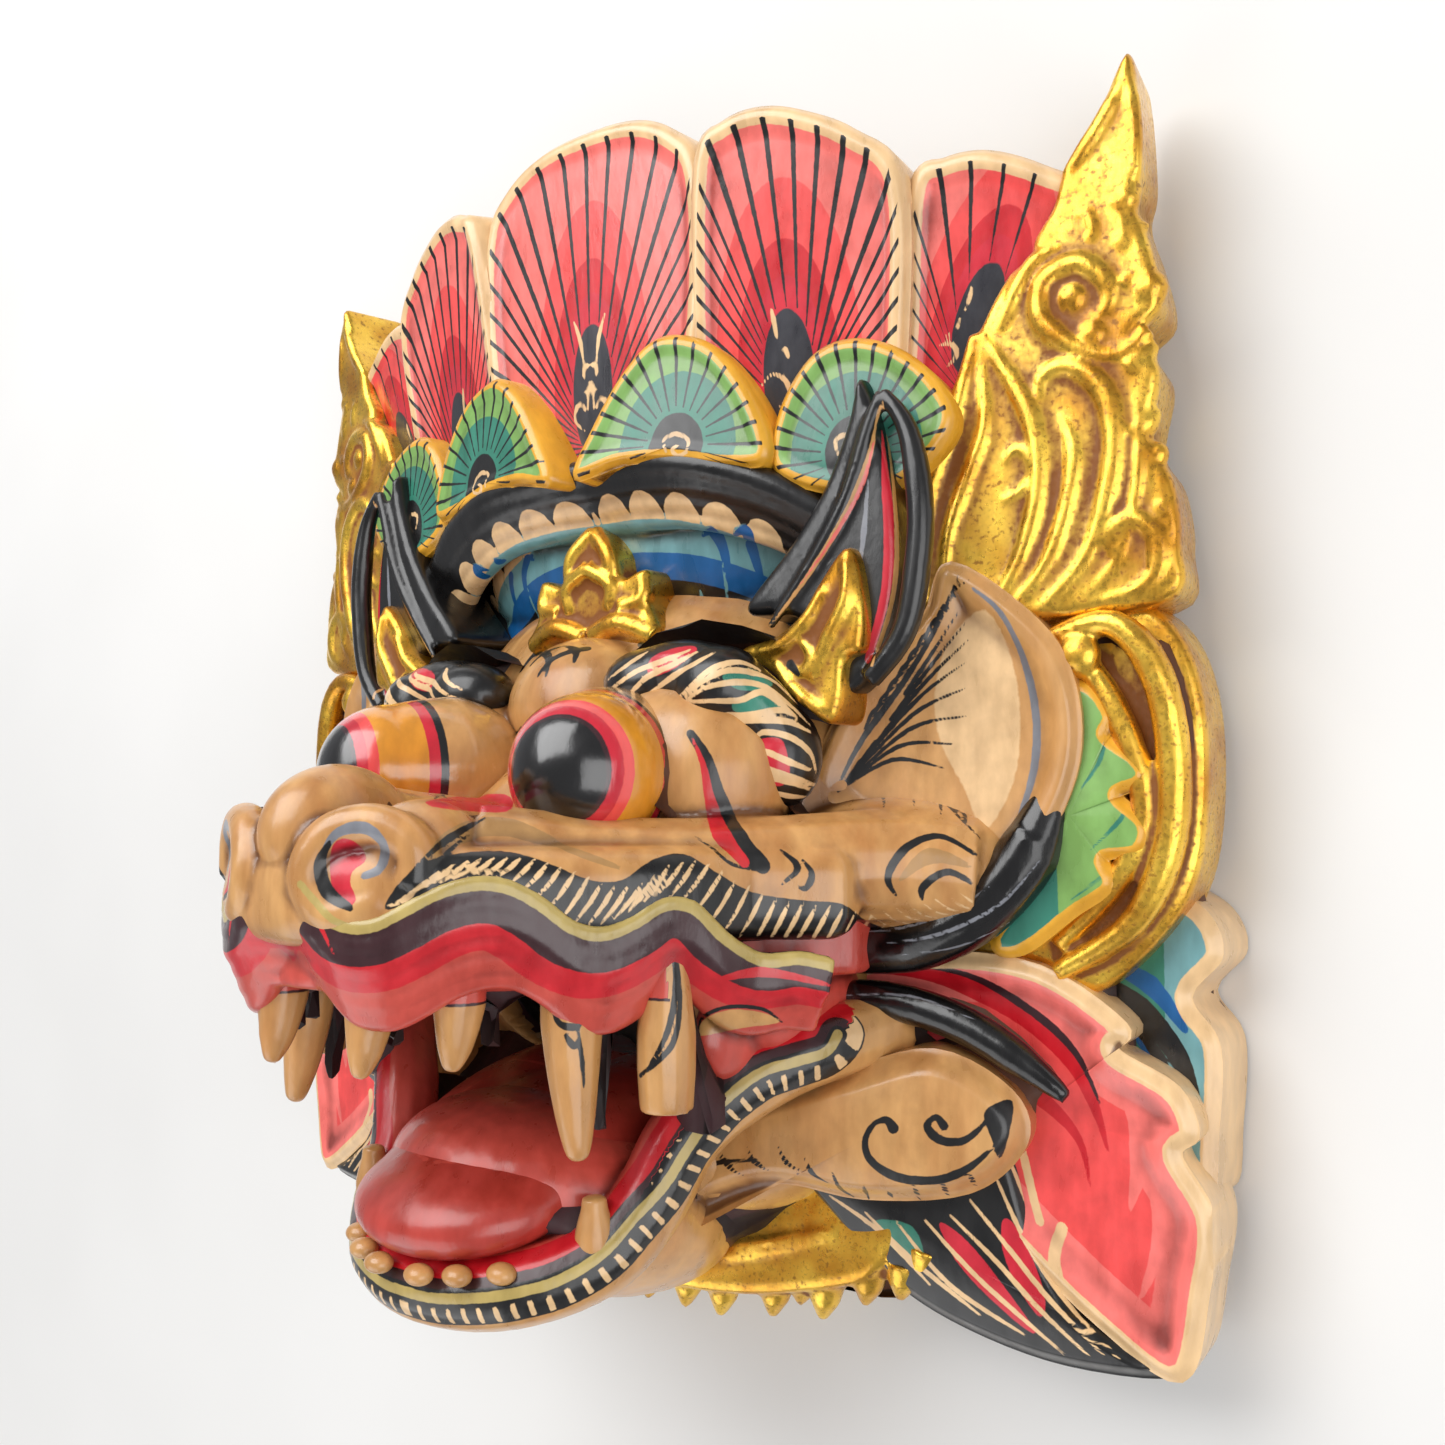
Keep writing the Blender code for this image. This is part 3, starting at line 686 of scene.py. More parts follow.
def gilding(piece, coats=(), share=0.55):
    """Leaf gold, bright on the ridges, thin and speckled on the flats and brown in the cuts."""
    material, tree, shader = new_material(piece.name + "_gold")
    relief(piece, 20)
    speckle = noise(tree, 520, detail=6.0)
    patch = noise(tree, 55, detail=3.0)
    tint = mixed(tree, ranged(tree, patch, 0.35, 0.65), paint("gold"), paint("worn_gold"))
    tint = mixed(tree, ranged(tree, speckle, 0.58, 0.68, 0.0, 0.75), tint, SPECKLE_TINT)
    # The cuts turn dull brown: part glaze, part painted shade.
    deep = calc(tree, "ADD", field(tree, "hollow"), calc(tree, "MULTIPLY", speckle, 0.35))
    cut = ranged(tree, deep, 0.22, 0.75)
    tint = mixed(tree, cut, tint, CUT_GLAZE_AND_SHADE)
    for number, (name, values) in enumerate(coats):
        coat = "coat_%02d" % number
        keep(piece, coat, values)
        inside = ranged(tree, field(tree, coat), -0.2, 0.2, 1.0, 0.0)
        tint = mixed(tree, inside, tint, paint(name))
        cut = calc(tree, "MAXIMUM", cut, inside)
    tree.links.new(tint, shader.inputs["Base Color"])
    tree.links.new(ranged(tree, cut, 0.0, 1.0, 0.92, 0.1), shader.inputs["Metallic"])
    sheen = calc(tree, "ADD", ranged(tree, speckle, 0.35, 0.7, 0.24, 0.48), calc(tree, "MULTIPLY", cut, 0.35))
    tree.links.new(sheen, shader.inputs["Roughness"])
    tree.links.new(ranged(tree, cut, 0.0, 1.0, 0.35, 0.05), shader.inputs["Coat Weight"])
    shader.inputs["Coat Roughness"].default_value = 0.15
    grain = noise(tree, 170, (1.0, 0.22, 1.0), 6.0)
    rough = add(tree, "ShaderNodeBump", {"Strength": 0.5, "Distance": 0.0008, "Height": grain}).outputs[0]
    tree.links.new(rough, shader.inputs["Normal"])
    piece.data.materials.clear()
    piece.data.materials.append(material)
    thin_out(piece, [values for name, values in coats], share)


def hand_in(piece, replaces=False):
    """Puts a finished piece on the mask's one body."""
    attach(piece, BODY)
    if replaces:
        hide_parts("carved_mask")


# Outlines of the carving, right half, in cm

CENTRE_PETAL = [(0, 20.1), (2.2, 19.9), (3.8, 19.1), (4.8, 17.7), (4.9, 14), (4.3, 10), (3.6, 8.5), (0, 8.4)]
INNER_PETAL = [(4.8, 17.8), (5.7, 18.8), (7.0, 19.0), (8.4, 18.6), (9.9, 17.8), (11.3, 16.3),
               (11.2, 12), (10.6, 8.8), (8.8, 7.6), (6.4, 8.1), (4.6, 9.0), (4.4, 12)]
OUTER_PETAL = [(11.4, 16.2), (12.3, 16.7), (13.6, 16.7), (15.2, 16.0), (16.4, 15.0),
               (15.6, 12.5), (13.6, 8), (10.5, 6), (11.0, 12)]
INNER_LEAF = [(0.4, 7.9), (1.1, 9.4), (2.2, 11.0), (3.4, 12.0), (4.6, 12.0), (5.9, 11.3),
              (7.1, 9.6), (7.6, 7.8), (6.2, 7.7), (4.2, 8.1), (2.2, 8.2)]
OUTER_LEAF = [(7.5, 7.5), (7.7, 9.3), (8.7, 10.8), (10.0, 11.2), (11.5, 10.7), (12.7, 9.6),
              (13.2, 8.2), (11.6, 6.6), (9.4, 6.6)]
HORN = [(10.7, 9.9), (10.2, 8.4), (9.4, 6.6), (8.2, 4.9), (6.6, 3.0), (8.6, 2.6), (9.8, 0.4),
        (10.8, 0.6), (11.7, 2.6), (11.9, 4.8), (11.5, 7.4)]
WING = [(18.0, 18.9), (18.3, 15.7), (18.1, 14.4), (18.5, 13.0), (18.8, 11.3), (18.0, 10.4),
        (18.7, 9.4), (18.4, 7.4), (19.0, 6.2), (19.2, 4.4), (18.6, 2.6), (12.0, 2.4)]
EAR = [(12.8, 4.1), (12.0, 2.6), (10.4, 1.1), (8.9, -0.8), (8.4, -3.0), (11.5, -5.0),
       (14.3, -5.4), (15.6, -4.0), (16.5, -1.8), (16.4, 0.4), (15.4, 2.2)]
SCROLL = [(14.4, 2.0), (15.4, 2.7), (17.2, 3.0), (18.6, 2.4), (19.5, 0.8), (19.8, -1.8),
          (19.5, -4.9), (18.5, -6.8), (16.4, -8.6), (14.8, -7.8), (12.5, -7.6), (12.5, -3)]
BLUE_LEAF = [(17.0, -5.6), (19.2, -5.9), (19.95, -7.3), (19.0, -8.6), (19.8, -9.9),
             (19.7, -12.4), (19.3, -14.4), (17.0, -13.0), (15.5, -9.5)]
SPRAY = [(15.8, 0.4), (16.9, 0.3), (17.5, -0.6), (17.3, -1.1), (18.2, -1.8), (18.4, -2.4),
         (17.6, -2.8), (18.4, -3.6), (18.2, -4.4), (17.2, -4.6), (17.4, -5.4), (16.3, -6.2),
         (14.7, -7.4), (13.8, -7.2), (15.0, -5.4), (15.5, -3.5), (15.2, -1.5)]
SPRAY_THICKNESS = 0.012
BLUE_LEAF_THICKNESS = 0.024
FLAME_LOBE = [(8.0, -8.6), (11.6, -7.7), (15.0, -7.9), (17.5, -9.4), (17.2, -10.1), (18.9, -11.0),
              (19.4, -12.2), (18.9, -12.8), (19.8, -14.4), (19.6, -16.4), (18.9, -18.9),
              (16.6, -17.8), (13.6, -15.4), (10.6, -12.6), (8.4, -11.0)]
JAW_LOBE = [(4.6, -13.4), (6.8, -12.2), (9.6, -11.2), (12.4, -10.4), (14.6, -11.4), (15.0, -12.8),
            (13.4, -14.3), (10.2, -14.8), (7.4, -14.6), (5.0, -15.6), (3.6, -16.8)]
TUFT = [(6.4, -14.0), (10.5, -14.6), (13.6, -12.8), (15.0, -16.0), (16.4, -17.8), (18.6, -18.9),
        (15.6, -19.2), (12.6, -18.7), (10.2, -17.7), (8.0, -15.9)]
COLLAR = [(0, -19.5), (3.6, -19.4), (7.2, -18.7), (10.2, -17.4), (10.0, -14.5), (0, -13.5)]
LIP_PLAN = [(0, 20.0), (2.5, 19.5), (4.6, 18.2), (6.2, 16.5), (7.4, 14.6), (8.5, 12.8),
            (9.5, 10.6), (10.2, 7.0), (10.4, 0)]
GUM_PLAN = [(0, 19.1), (2.0, 18.6), (3.8, 17.3), (5.3, 15.6), (6.6, 13.6), (7.7, 11.6),
            (8.7, 9.0), (9.4, 5.0), (9.4, 0)]
BROW_PATH = [(2.9, 0.5, 8.8), (5.0, 1.0, 8.9), (7.0, 0.6, 8.7), (8.3, -0.7, 8.0), (8.5, -2.4, 7.2)]
LOWER_LIP_PATH = [(10.6, -9.9, 4.6), (9.0, -10.5, 7.4), (7.4, -11.7, 9.0), (6.3, -13.0, 9.8),
                  (5.6, -14.8, 10.5), (4.8, -16.3, 11.8), (2.8, -17.2, 13.4), (0, -17.5, 14.0)]
BAND_PATH = [(9.2, 5.9, 4.6), (7.2, 7.2, 5.2), (4.8, 8.1, 5.9), (2.4, 8.5, 6.3), (0, 8.6, 6.4)]
SWEEP_PATH = [(9.0, -7.6, 5.4), (11.6, -7.2, 5.3), (13.7, -6.2, 5.1), (15.2, -4.4, 4.7), (16.0, -2.0, 4.2)]
HOOP_PATH = [(-8.6, -16.6, 4.9), (-4.5, -17.9, 5.1), (0, -18.0, 5.1), (4.5, -17.6, 5.1), (8.6, -16.4, 4.9)]
SCROLL_RIM = [(15.4, 1.7, 4.3), (17.6, 2.1, 4.2), (18.9, 0.2, 3.9), (19.1, -3.4, 3.7), (18.0, -6.3, 3.7),
              (15.6, -8.0, 3.9)]
SCROLL_INNER = [(15.2, 1.9, 4.1), (16.7, 1.0, 4.0), (17.8, -1.0, 3.9), (18.3, -3.4, 3.8), (17.2, -5.6, 3.8),
                (15.6, -7.2, 3.8)]
PUPIL = (5.6, -2.1, 14.3)
GAZE_TURN = math.radians(26)
NOSTRIL_PATH = [(3.2, -5.6, 18.6), (2.0, -6.0, 19.3), (1.3, -5.0, 19.6), (1.8, -3.9, 19.3),
                (3.0, -3.6, 18.7), (4.0, -4.2, 18.2), (4.0, -5.2, 18.2)]
TREFOIL = [(0, 6.5), (1.0, 5.6), (1.2, 4.6), (2.2, 4.8), (2.3, 3.6), (2.6, 2.4), (0, 1.8)]
PAINT_TURN = math.radians(17)


def ease(low, high, values):
    """A smooth step from 0 to 1."""
    share = np.clip((values - low) / (high - low), 0, 1)
    return share * share * (3 - 2 * share)


# The pieces

OUTER_SPOT = (964, 312)
PETAL_CURLS = [
    line([(574, 322), (580, 340), (583, 358)], 0.6, 2.0, 0.8),
    line([(583, 368), (592, 364), (597, 374), (590, 382)], 0.6, 1.6, 0.6),
    line([(577, 402), (588, 392), (603, 398), (607, 414), (598, 428)], 0.7, 1.9, 0.6),
    line([(585, 410), (592, 412), (594, 404), (588, 400)], 1.2, 1.0, 0.8),
    line([(771, 307), (774, 322), (777, 340)], 0.6, 1.9, 0.8),
    line([(776, 350), (785, 348), (788, 357), (782, 366)], 0.6, 1.5, 0.6),
    line([(762, 385), (773, 374), (787, 382), (788, 397), (778, 408)], 0.7, 1.8, 0.6),
    line([(972, 285), (970, 297), (965, 310)], 0.6, 1.6, 0.6),
    line([(960, 318), (956, 330), (945, 336)], 0.6, 1.5, 0.6),
    line([(940, 345), (952, 344), (957, 355), (948, 366)], 0.8, 1.8, 0.8),
]


def red_petals():
    border = sizes().border / CM

    def profile(rim, share):
        raised = 0.18 * ease(border * 1.4, border * 0.7, rim)
        return raised - 0.3 * ease(0.28, 0.0, rim)

    thick = sizes().petal_thickness
    forward, lean = math.radians(8), math.radians(15)
    parts = [dish(whole(CENTRE_PETAL), (0, 9.3), 7.4, thick, (math.radians(2), 0, 0), profile, 264, 40,
                  grow=0.3),
             dish(INNER_PETAL, (7.8, 9.3), 6.6, thick, (forward, lean, 0), profile, 264, 40, grow=0.3),
             dish(OUTER_PETAL, (12.7, 9.6), 4.4, thick, (forward, lean, 0), profile, 216, 34, grow=0.3)]
    piece, data = assemble("red_petals", parts, (False, True, True))
    spots = np.array([(0.1, 11.3), (7.5, 10.7), on_plane(OUTER_SPOT, 4.8, 0.268, 12.5)[:2]])[data["part"]]
    tilt = np.radians(np.array((0, 0, -20)))[data["part"]]
    offset = data["flat"] - spots
    across = offset[:, 0] * np.cos(tilt) + offset[:, 1] * np.sin(tilt)
    along = offset[:, 1] * np.cos(tilt) - offset[:, 0] * np.sin(tilt)
    ring = np.hypot(across / 0.4, along)
    reach = np.array((1.0, 0.95, 0.75))[data["part"]]
    rays = data["ray"] * 10 - np.interp(ring, (2.3, 3.2, 8.5), (0.18, 0.5, 1.05))
    rays = np.where((ring < 2.3 * reach) | (data["rim"] < 0.3), FAR_FIELD, rays)
    curls = marks(piece, PETAL_CURLS)
    lacquer(piece, "salmon", [("coral", (ring - 6.6 * reach) * 5), ("red", (ring - 4.6 * reach) * 5),
                              ("crimson", (ring - 3.4 * reach) * 5), ("slate", (ring - 2.3 * reach) * 5),
                              ("pale", (data["rim"] - border) * 10), ("black", rays), ("pale", curls)],
            wood=0.12, stain_and_shade=0.7, share=1)
    hand_in(piece, replaces=True)


LEAF_CURLS = [
    line([(666, 452), (664, 440), (676, 434), (688, 440), (686, 452)], 0.8, 1.8, 0.8),
    line([(686, 452), (678, 456), (672, 450), (678, 445)], 1.2, 1.5, 0.9),
    line([(838, 455), (836, 440), (850, 434), (862, 442)], 0.8, 1.8, 0.8),
]


def green_leaves():
    border = sizes().leaf_border / CM

    def profile(rim, share):
        return 0.1 * ease(border * 2, border, rim) - 0.25 * ease(0.22, 0.0, rim) + 0.1 * (1 - share)

    thick = sizes().petal_thickness * 0.8
    parts = [dish(INNER_LEAF, (4.4, 8.5), 8.1, thick, (0, math.radians(10), 0), profile, 200, 26),
             dish(OUTER_LEAF, (10.2, 7.6), 6.5, thick, (0, math.radians(12), 0), profile, 200, 26)]
    piece, data = assemble("green_leaves", parts, (True, True))
    hubs = np.array([(4.4, 8.4), (10.2, 7.7)])[data["part"]]
    offset = data["flat"] - hubs
    ring = np.hypot(offset[:, 0] / 0.86, offset[:, 1])
    rays = data["ray"] * 10 - np.interp(ring, (1.0, 3.5), (0.2, 0.75))
    rays = np.where((ring < 1.25) | (data["rim"] < 0.12), FAR_FIELD, rays)
    curls = marks(piece, LEAF_CURLS)
    lacquer(piece, "green", [("teal", (ring - 2.5) * 8), ("black", (ring - 1.15) * 8),
                             ("ochre", (data["rim"] - border) * 10), ("black", rays), ("pale", curls)],
            wood=0.1, stain_and_shade=0.7, share=1)
    hand_in(piece)


def hollow_cutter():
    """The hollow behind the face, which every deep piece leaves open."""
    return ball((0, -5.0, -0.4), (10.6, 10.6, 8.8))


def mouth_cutter():
    """The open mouth, back to the hollow."""
    return ball((0, -10.6, 12.0), (5.4, 2.0, 9.5), (math.radians(6), 0, 0))


BAND_COMMAS = [
    line([(703, 535), (712, 530), (722, 545), (728, 570), (730, 590)], 1.5, 4.5, 3.0, 0.8),
    line([(735, 535), (745, 530), (752, 548), (760, 575), (762, 590)], 1.5, 4.5, 3.0, 0.8),
]
BAND_GLINTS = [
    line([(700, 540), (706, 528), (716, 526)], 0.4, 1.0, 0.3),
    line([(732, 540), (736, 528), (746, 524)], 0.4, 1.0, 0.3),
    line([(722, 560), (726, 585), (728, 610)], 0.4, 1.3, 0.4),
    line([(700, 590), (706, 608), (722, 618)], 0.5, 3.0, 0.5),
]


def forehead_band():
    lip = [(9.2, 5.9, 6.0), (7.2, 7.1, 6.9), (4.8, 7.9, 7.6), (2.4, 8.2, 7.6), (0, 8.3, 7.3)]
    forms = [tube(whole_path([(x, y - drop, z - back) for x, y, z in lip]), 0.55)
             for drop, back in ((0, 0), (0.5, 0.25), (1.0, 0.6), (1.5, 0.95))]
    forms += [ball((0, 6.0, 2.2), (9.8, 4.2, 4.2)), ball((0, 3.4, 2.4), (9.0, 3.0, 3.3))]
    piece = carve("forehead_band", forms, soften=8, cuts=[hollow_cutter()], mirrored=False)
    points = corners(piece)
    arch = smooth_line(whole_path(BAND_PATH), steps=8)[:, :2]
    flat = points[:, :2] / CM
    away, along = line_distance(flat, arch)
    above = np.interp(flat[:, 0], arch[::-1, 0], arch[::-1, 1])
    down = np.where(flat[:, 1] < above, away, -away)
    step = 1.75
    beat = np.abs((along / step + 0.5) % 1 - 0.5) * step
    scallops = np.maximum(np.hypot(beat, down - 2.0) - 0.86, down - 2.0) * 10
    lacquer(piece, "black", [("blue", np.abs(down - 3.3) * 10 - 6), ("sky", np.abs(down - 2.4) * 10 - 6),
                             ("pale", scallops), ("blue", marks(piece, BAND_COMMAS)),
                             ("sky", marks(piece, BAND_GLINTS))], wood=0.0)
    hand_in(piece)


HORN_OUTER_EDGE = ((882, 392), (908, 430), (920, 500), (918, 560), (905, 630), (870, 680))
HORN_INNER_EDGE = ((882, 392), (868, 430), (850, 490), (820, 550), (770, 628))
HORN_CREAM = [
    line([(882, 400), (888, 440), (895, 500), (897, 560), (890, 610), (872, 665)], 0.8, 1.8, 1.8,
          1.2),
    line([(880, 405), (868, 460), (845, 515), (805, 580), (765, 632)], 0.8, 2.2, 1.8, 0.6),
]
HORN_CRIMSON = [line([(882, 430), (886, 480), (889, 530), (886, 590), (868, 660)], 0.8, 3.2, 3.4, 2.2)]
HORN_PINK = [line([(874, 440), (862, 485), (835, 535), (800, 585)], 0.5, 1.4, 1.2, 0.4)]
HORN_GREY = [line([(868, 480), (864, 530), (858, 580)], 0.4, 2.0, 0.4)]


def horns():
    turn = (0, math.radians(6), 0)
    forms = [slab(HORN, 7.15, 0.03, turn, 0.35),
             tube([on_plane(p, 7.2, 0.1, 10) for p in HORN_OUTER_EDGE], 0.42, (0.5, 1, 1, 0.8)),
             tube([on_plane(p, 7.2, 0.1, 10) for p in HORN_INNER_EDGE], 0.26, (0.8, 1, 1, 0.5))]
    piece = carve("horns", forms)
    lacquer(piece, "black", [("grey", marks(piece, HORN_GREY)),
                             ("crimson", marks(piece, HORN_CRIMSON)), ("cream", marks(piece, HORN_CREAM)),
                             ("salmon", marks(piece, HORN_PINK))], wood=0.0, stain_and_shade=0.3)
    hand_in(piece)


SIDE_PLATE = [(846, 545), (860, 600), (858, 648), (842, 660), (838, 700), (826, 724), (800, 704), (768, 672),
              (738, 650), (772, 636), (800, 612), (814, 586)]
PLATE_RIBS = (
    (0.26, [(846, 560), (846, 600), (828, 640), (812, 680)]),
    (0.26, [(822, 590), (806, 622), (782, 646), (758, 652)]),
    (0.24, [(776, 664), (796, 690), (822, 712)]),
    (0.2, [(800, 640), (812, 654), (806, 672), (792, 668)]),
)
PLATE_SLIT = [line([(790, 664), (798, 674)], 3, 2)]


def crown_gold():
    side = [on_plane(p, 7.6)[:2] for p in SIDE_PLATE]
    forms = [slab([(x * 1.12, y) for x, y in whole(TREFOIL)], 7.3, 0.018), slab(side, 7.6, 0.026, edge=0.25),
             tube([(0, 6.3, 7.0), (0.8, 5.5, 7.2), (1.0, 4.7, 7.1)], 0.34),
             tube([(2.2, 4.6, 7.0), (2.3, 3.8, 7.1), (1.4, 3.6, 7.2)], 0.32),
             tube([(0.2, 2.6, 7.2), (1.5, 3.0, 7.3), (2.8, 2.5, 7.0)], 0.44),
             tube([(0.9, 3.6, 7.2), (1.0, 4.4, 7.3), (0.0, 5.0, 7.4)], 0.28)]
    for radius, pixels in PLATE_RIBS:
        forms.append(tube([on_plane(p, 7.6) for p in pixels], radius, (0.5, 1, 1, 0.5)))
    piece = carve("crown_gold", forms)
    gilding(piece, [("black", marks(piece, PLATE_SLIT))])
    hand_in(piece)


WING_SLOPE = 0.21
WING_HEIGHT = 5.4
WING_START = 11.3
WING_RIDGES = [
    (0.36, [(924, 606), (922, 545), (934, 480), (955, 420), (976, 334)]),
    (0.30, [(944, 596), (950, 535), (972, 470), (986, 420), (980, 350)]),
    (0.42, [(1000, 600), (1026, 548), (1040, 490), (1036, 430), (1012, 380), (980, 336)]),
    (0.26, [(1004, 500), (1022, 492), (1034, 470), (1020, 448), (1006, 462)]),
    (0.36, [(1016, 604), (1050, 560), (1070, 500), (1074, 450), (1060, 415)]),
    (0.48, [(1040, 612), (1086, 560), (1108, 500), (1116, 440), (1104, 392), (1072, 368), (1044, 380),
            (1040, 420)]),
    (0.30, [(1085, 600), (1118, 560), (1136, 500), (1140, 440), (1134, 380)]),
    (0.46, [(1150, 330), (1118, 356), (1078, 350), (1044, 322), (1046, 284), (1080, 266), (1108, 286),
            (1106, 312), (1086, 318)]),
    (0.40, [(1092, 604), (1134, 592), (1158, 570), (1156, 536), (1132, 520), (1112, 536), (1120, 560),
            (1136, 562)]),
    (0.22, [(1070, 214), (1088, 216), (1092, 236), (1080, 242)]),
    (0.22, [(1100, 214), (1118, 218), (1122, 236), (1108, 244)]),
    (0.30, [(1066, 176), (1098, 130), (1128, 74)]),
    (0.26, [(1136, 176), (1134, 120), (1128, 74)]),
    (0.30, [(1000, 330), (1018, 290), (1036, 262), (1064, 246)]),
]
WING_BALLS = [(1072, 300, 0.62), (1092, 336, 0.6), (1128, 548, 0.42), (1022, 470, 0.4), (1052, 236, 0.4),
              (1124, 200, 0.5), (1148, 290, 0.6), (1146, 392, 0.4), (1156, 455, 0.4), (1160, 510, 0.5)]
WING_EDGE = [(917, 600), (917, 520), (922, 450), (945, 385), (973, 328), (987, 300), (1004, 274), (1022, 262),
             (1028, 240), (1046, 210), (1054, 180), (1064, 162), (1092, 116)]
WING_TIPS = [(1142, 186), (1148, 222), (1152, 262), (1158, 344), (1161, 410), (1166, 456)]


def wings():
    edge = [on_plane(p, WING_HEIGHT - 0.3, WING_SLOPE, WING_START)[:2] for p in WING_EDGE]
    forms = [slab(WING + edge, 4.4, sizes().wing_thickness, (0, math.radians(11), 0), 0.3)]
    for radius, pixels in WING_RIDGES:
        path = [on_plane(p, WING_HEIGHT - radius * 0.45, WING_SLOPE, WING_START) for p in pixels]
        forms.append(tube(path, radius, (0.55, 1, 1, 0.55)))
    for across, down, radius in WING_BALLS:
        centre = on_plane((across, down), WING_HEIGHT - 0.3, WING_SLOPE, WING_START)
        forms.append(ball(centre, (radius, radius, radius * 0.8)))
    for across, down in WING_TIPS:
        path = [on_plane((across - back, down + back * 0.9), WING_HEIGHT - 0.35, WING_SLOPE, WING_START)
                for back in (28, 12, 0)]
        forms.append(tube(path, 0.5, (1, 0.8, 0.15)))
    piece = carve("gilded_wings", forms, soften=2)
    gilding(piece)
    hand_in(piece)


HAIR_ROOT = (838, 792)
EDGE_FOOT = (850, 752)
EDGE_REACH = (100, -150)
HAIR_TIPS = (
    (962, 606), (966, 622), (968, 640), (966, 662), (966, 688), (966, 716), (952, 744), (944, 768),
)
EAR_EDGE = [line([(836, 790), (862, 740), (905, 680), (940, 620), (958, 575)], 0.6, 2.2, 1.6, 0.5)]
EAR_GREY = [
    line([(972, 588), (1000, 612), (1024, 660), (1036, 715), (1034, 770), (1016, 825), (992, 868)],
          0.8, 2.4, 2.6, 1.0),
]
# Painted highlight: the pale sheen in the middle of the ear.
EAR_SHEEN = [
    area([(950, 640), (985, 610), (1012, 660), (1020, 720), (1014, 780), (985, 830), (965, 790),
          (940, 740), (935, 690)]),
]


def ears():
    def profile(rim, share):
        return 0.3 * ease(1.3, 0.5, rim) - 0.35 * ease(0.4, 0.0, rim) - 0.35 * (1 - share ** 2)

    part = dish(EAR, (12.0, -1.4), 5.4, sizes().lobe_thickness, (0, math.radians(10), 0), profile, 220, 62)
    piece = assemble("ears", [part], (True,))[0]
    hairs = []
    root_x, root_y = HAIR_ROOT
    for tip in HAIR_TIPS:
        middle = (0.5 * (root_x + tip[0]) + (root_y - 14 - tip[1]) * 0.10,
                  0.5 * (root_y - 2 + tip[1]) - (tip[0] - root_x) * 0.18)
        hairs.append(line([HAIR_ROOT, middle, tip], 0.5, 1.5, 0.4))
    edge_hairs = list(EAR_EDGE)
    for share in np.linspace(0.15, 0.95, 9):
        x = EDGE_FOOT[0] + EDGE_REACH[0] * share
        y = EDGE_FOOT[1] + EDGE_REACH[1] * share
        edge_hairs.append(line([(x, y), (x + 8, y - 18), (x + 24, y - 30)], 1.0, 1.2, 0.3))
    # The pale coat in the middle of the ear is a painted highlight.
    lacquer(piece, "cream", [("pale", marks(piece, EAR_SHEEN) * 0.5), ("grey", marks(piece, EAR_GREY)),
                             ("black", marks(piece, hairs + edge_hairs))], wood=0.35, share=1)
    hand_in(piece)


BROW_LINES = [
    [(592, 692), (627, 665), (647, 652)],
    [(607, 692), (635, 672), (665, 660), (690, 650)],
    [(627, 697), (647, 677), (672, 665), (697, 652)],
    [(642, 700), (672, 677), (697, 662), (715, 652)],
    [(675, 702), (695, 682), (715, 667), (740, 662), (760, 670)],
    [(685, 697), (702, 682), (725, 671), (750, 672), (775, 682), (800, 707)],
    [(687, 700), (707, 687), (740, 682), (765, 687), (790, 705), (810, 725)],
    [(677, 702), (710, 701), (740, 700), (760, 692), (775, 700), (797, 717)],
    [(697, 717), (722, 715), (750, 715), (780, 710), (797, 717)],
    [(715, 730), (740, 722), (765, 720), (790, 722), (810, 732)],
    [(727, 750), (752, 740), (765, 732), (790, 737), (810, 752), (816, 772)],
    [(730, 750), (760, 750), (785, 760), (810, 770)],
    [(730, 762), (755, 765), (785, 775), (815, 785)],
    [(737, 772), (765, 777), (790, 782), (817, 792)],
    [(742, 787), (770, 792), (797, 797), (820, 795)],
    [(750, 797), (770, 802), (790, 812)],
]
BROW_CRIMSON = [
    area([(647, 670), (655, 655), (685, 646), (697, 650), (675, 668), (655, 676)]),
    area([(752, 742), (778, 738), (786, 750), (790, 775), (780, 786), (766, 780), (762, 760)]),
]
BROW_GREEN = [
    area([(722, 676), (745, 668), (762, 674), (772, 686), (740, 690)]),
    area([(735, 700), (765, 690), (782, 706), (760, 714), (735, 712)]),
]


def brows():
    forms = [tube(BROW_PATH, 1.1, (0.8, 1, 1, 0.8)), ball((4.2, 0.7, 8.8), (1.7, 1.2, 1.4)),
             ball((6.9, 0.5, 8.7), (1.5, 1.3, 1.4)), ball((8.4, -1.6, 7.6), (1.2, 1.6, 1.3))]
    piece = carve("brows", forms)
    stripes = [line(pixels, 0.8, 1.9, 2.1, 1.0) for pixels in BROW_LINES]
    lacquer(piece, "black", [("crimson", marks(piece, BROW_CRIMSON)), ("teal", marks(piece, BROW_GREEN)),
                             ("pale", marks(piece, stripes))], wood=0.0, stain_and_shade=0.3)
    hand_in(piece)


EYE_RINGS = [("black", 33.0), ("crimson", 30.5), ("orange", 27.0), ("coral", 12.2), ("crimson", 9.2),
             ("maroon", 6.4), ("black", 5.4)]
EYE_LENGTH = 4.2
EYE_FLARE = 0.22


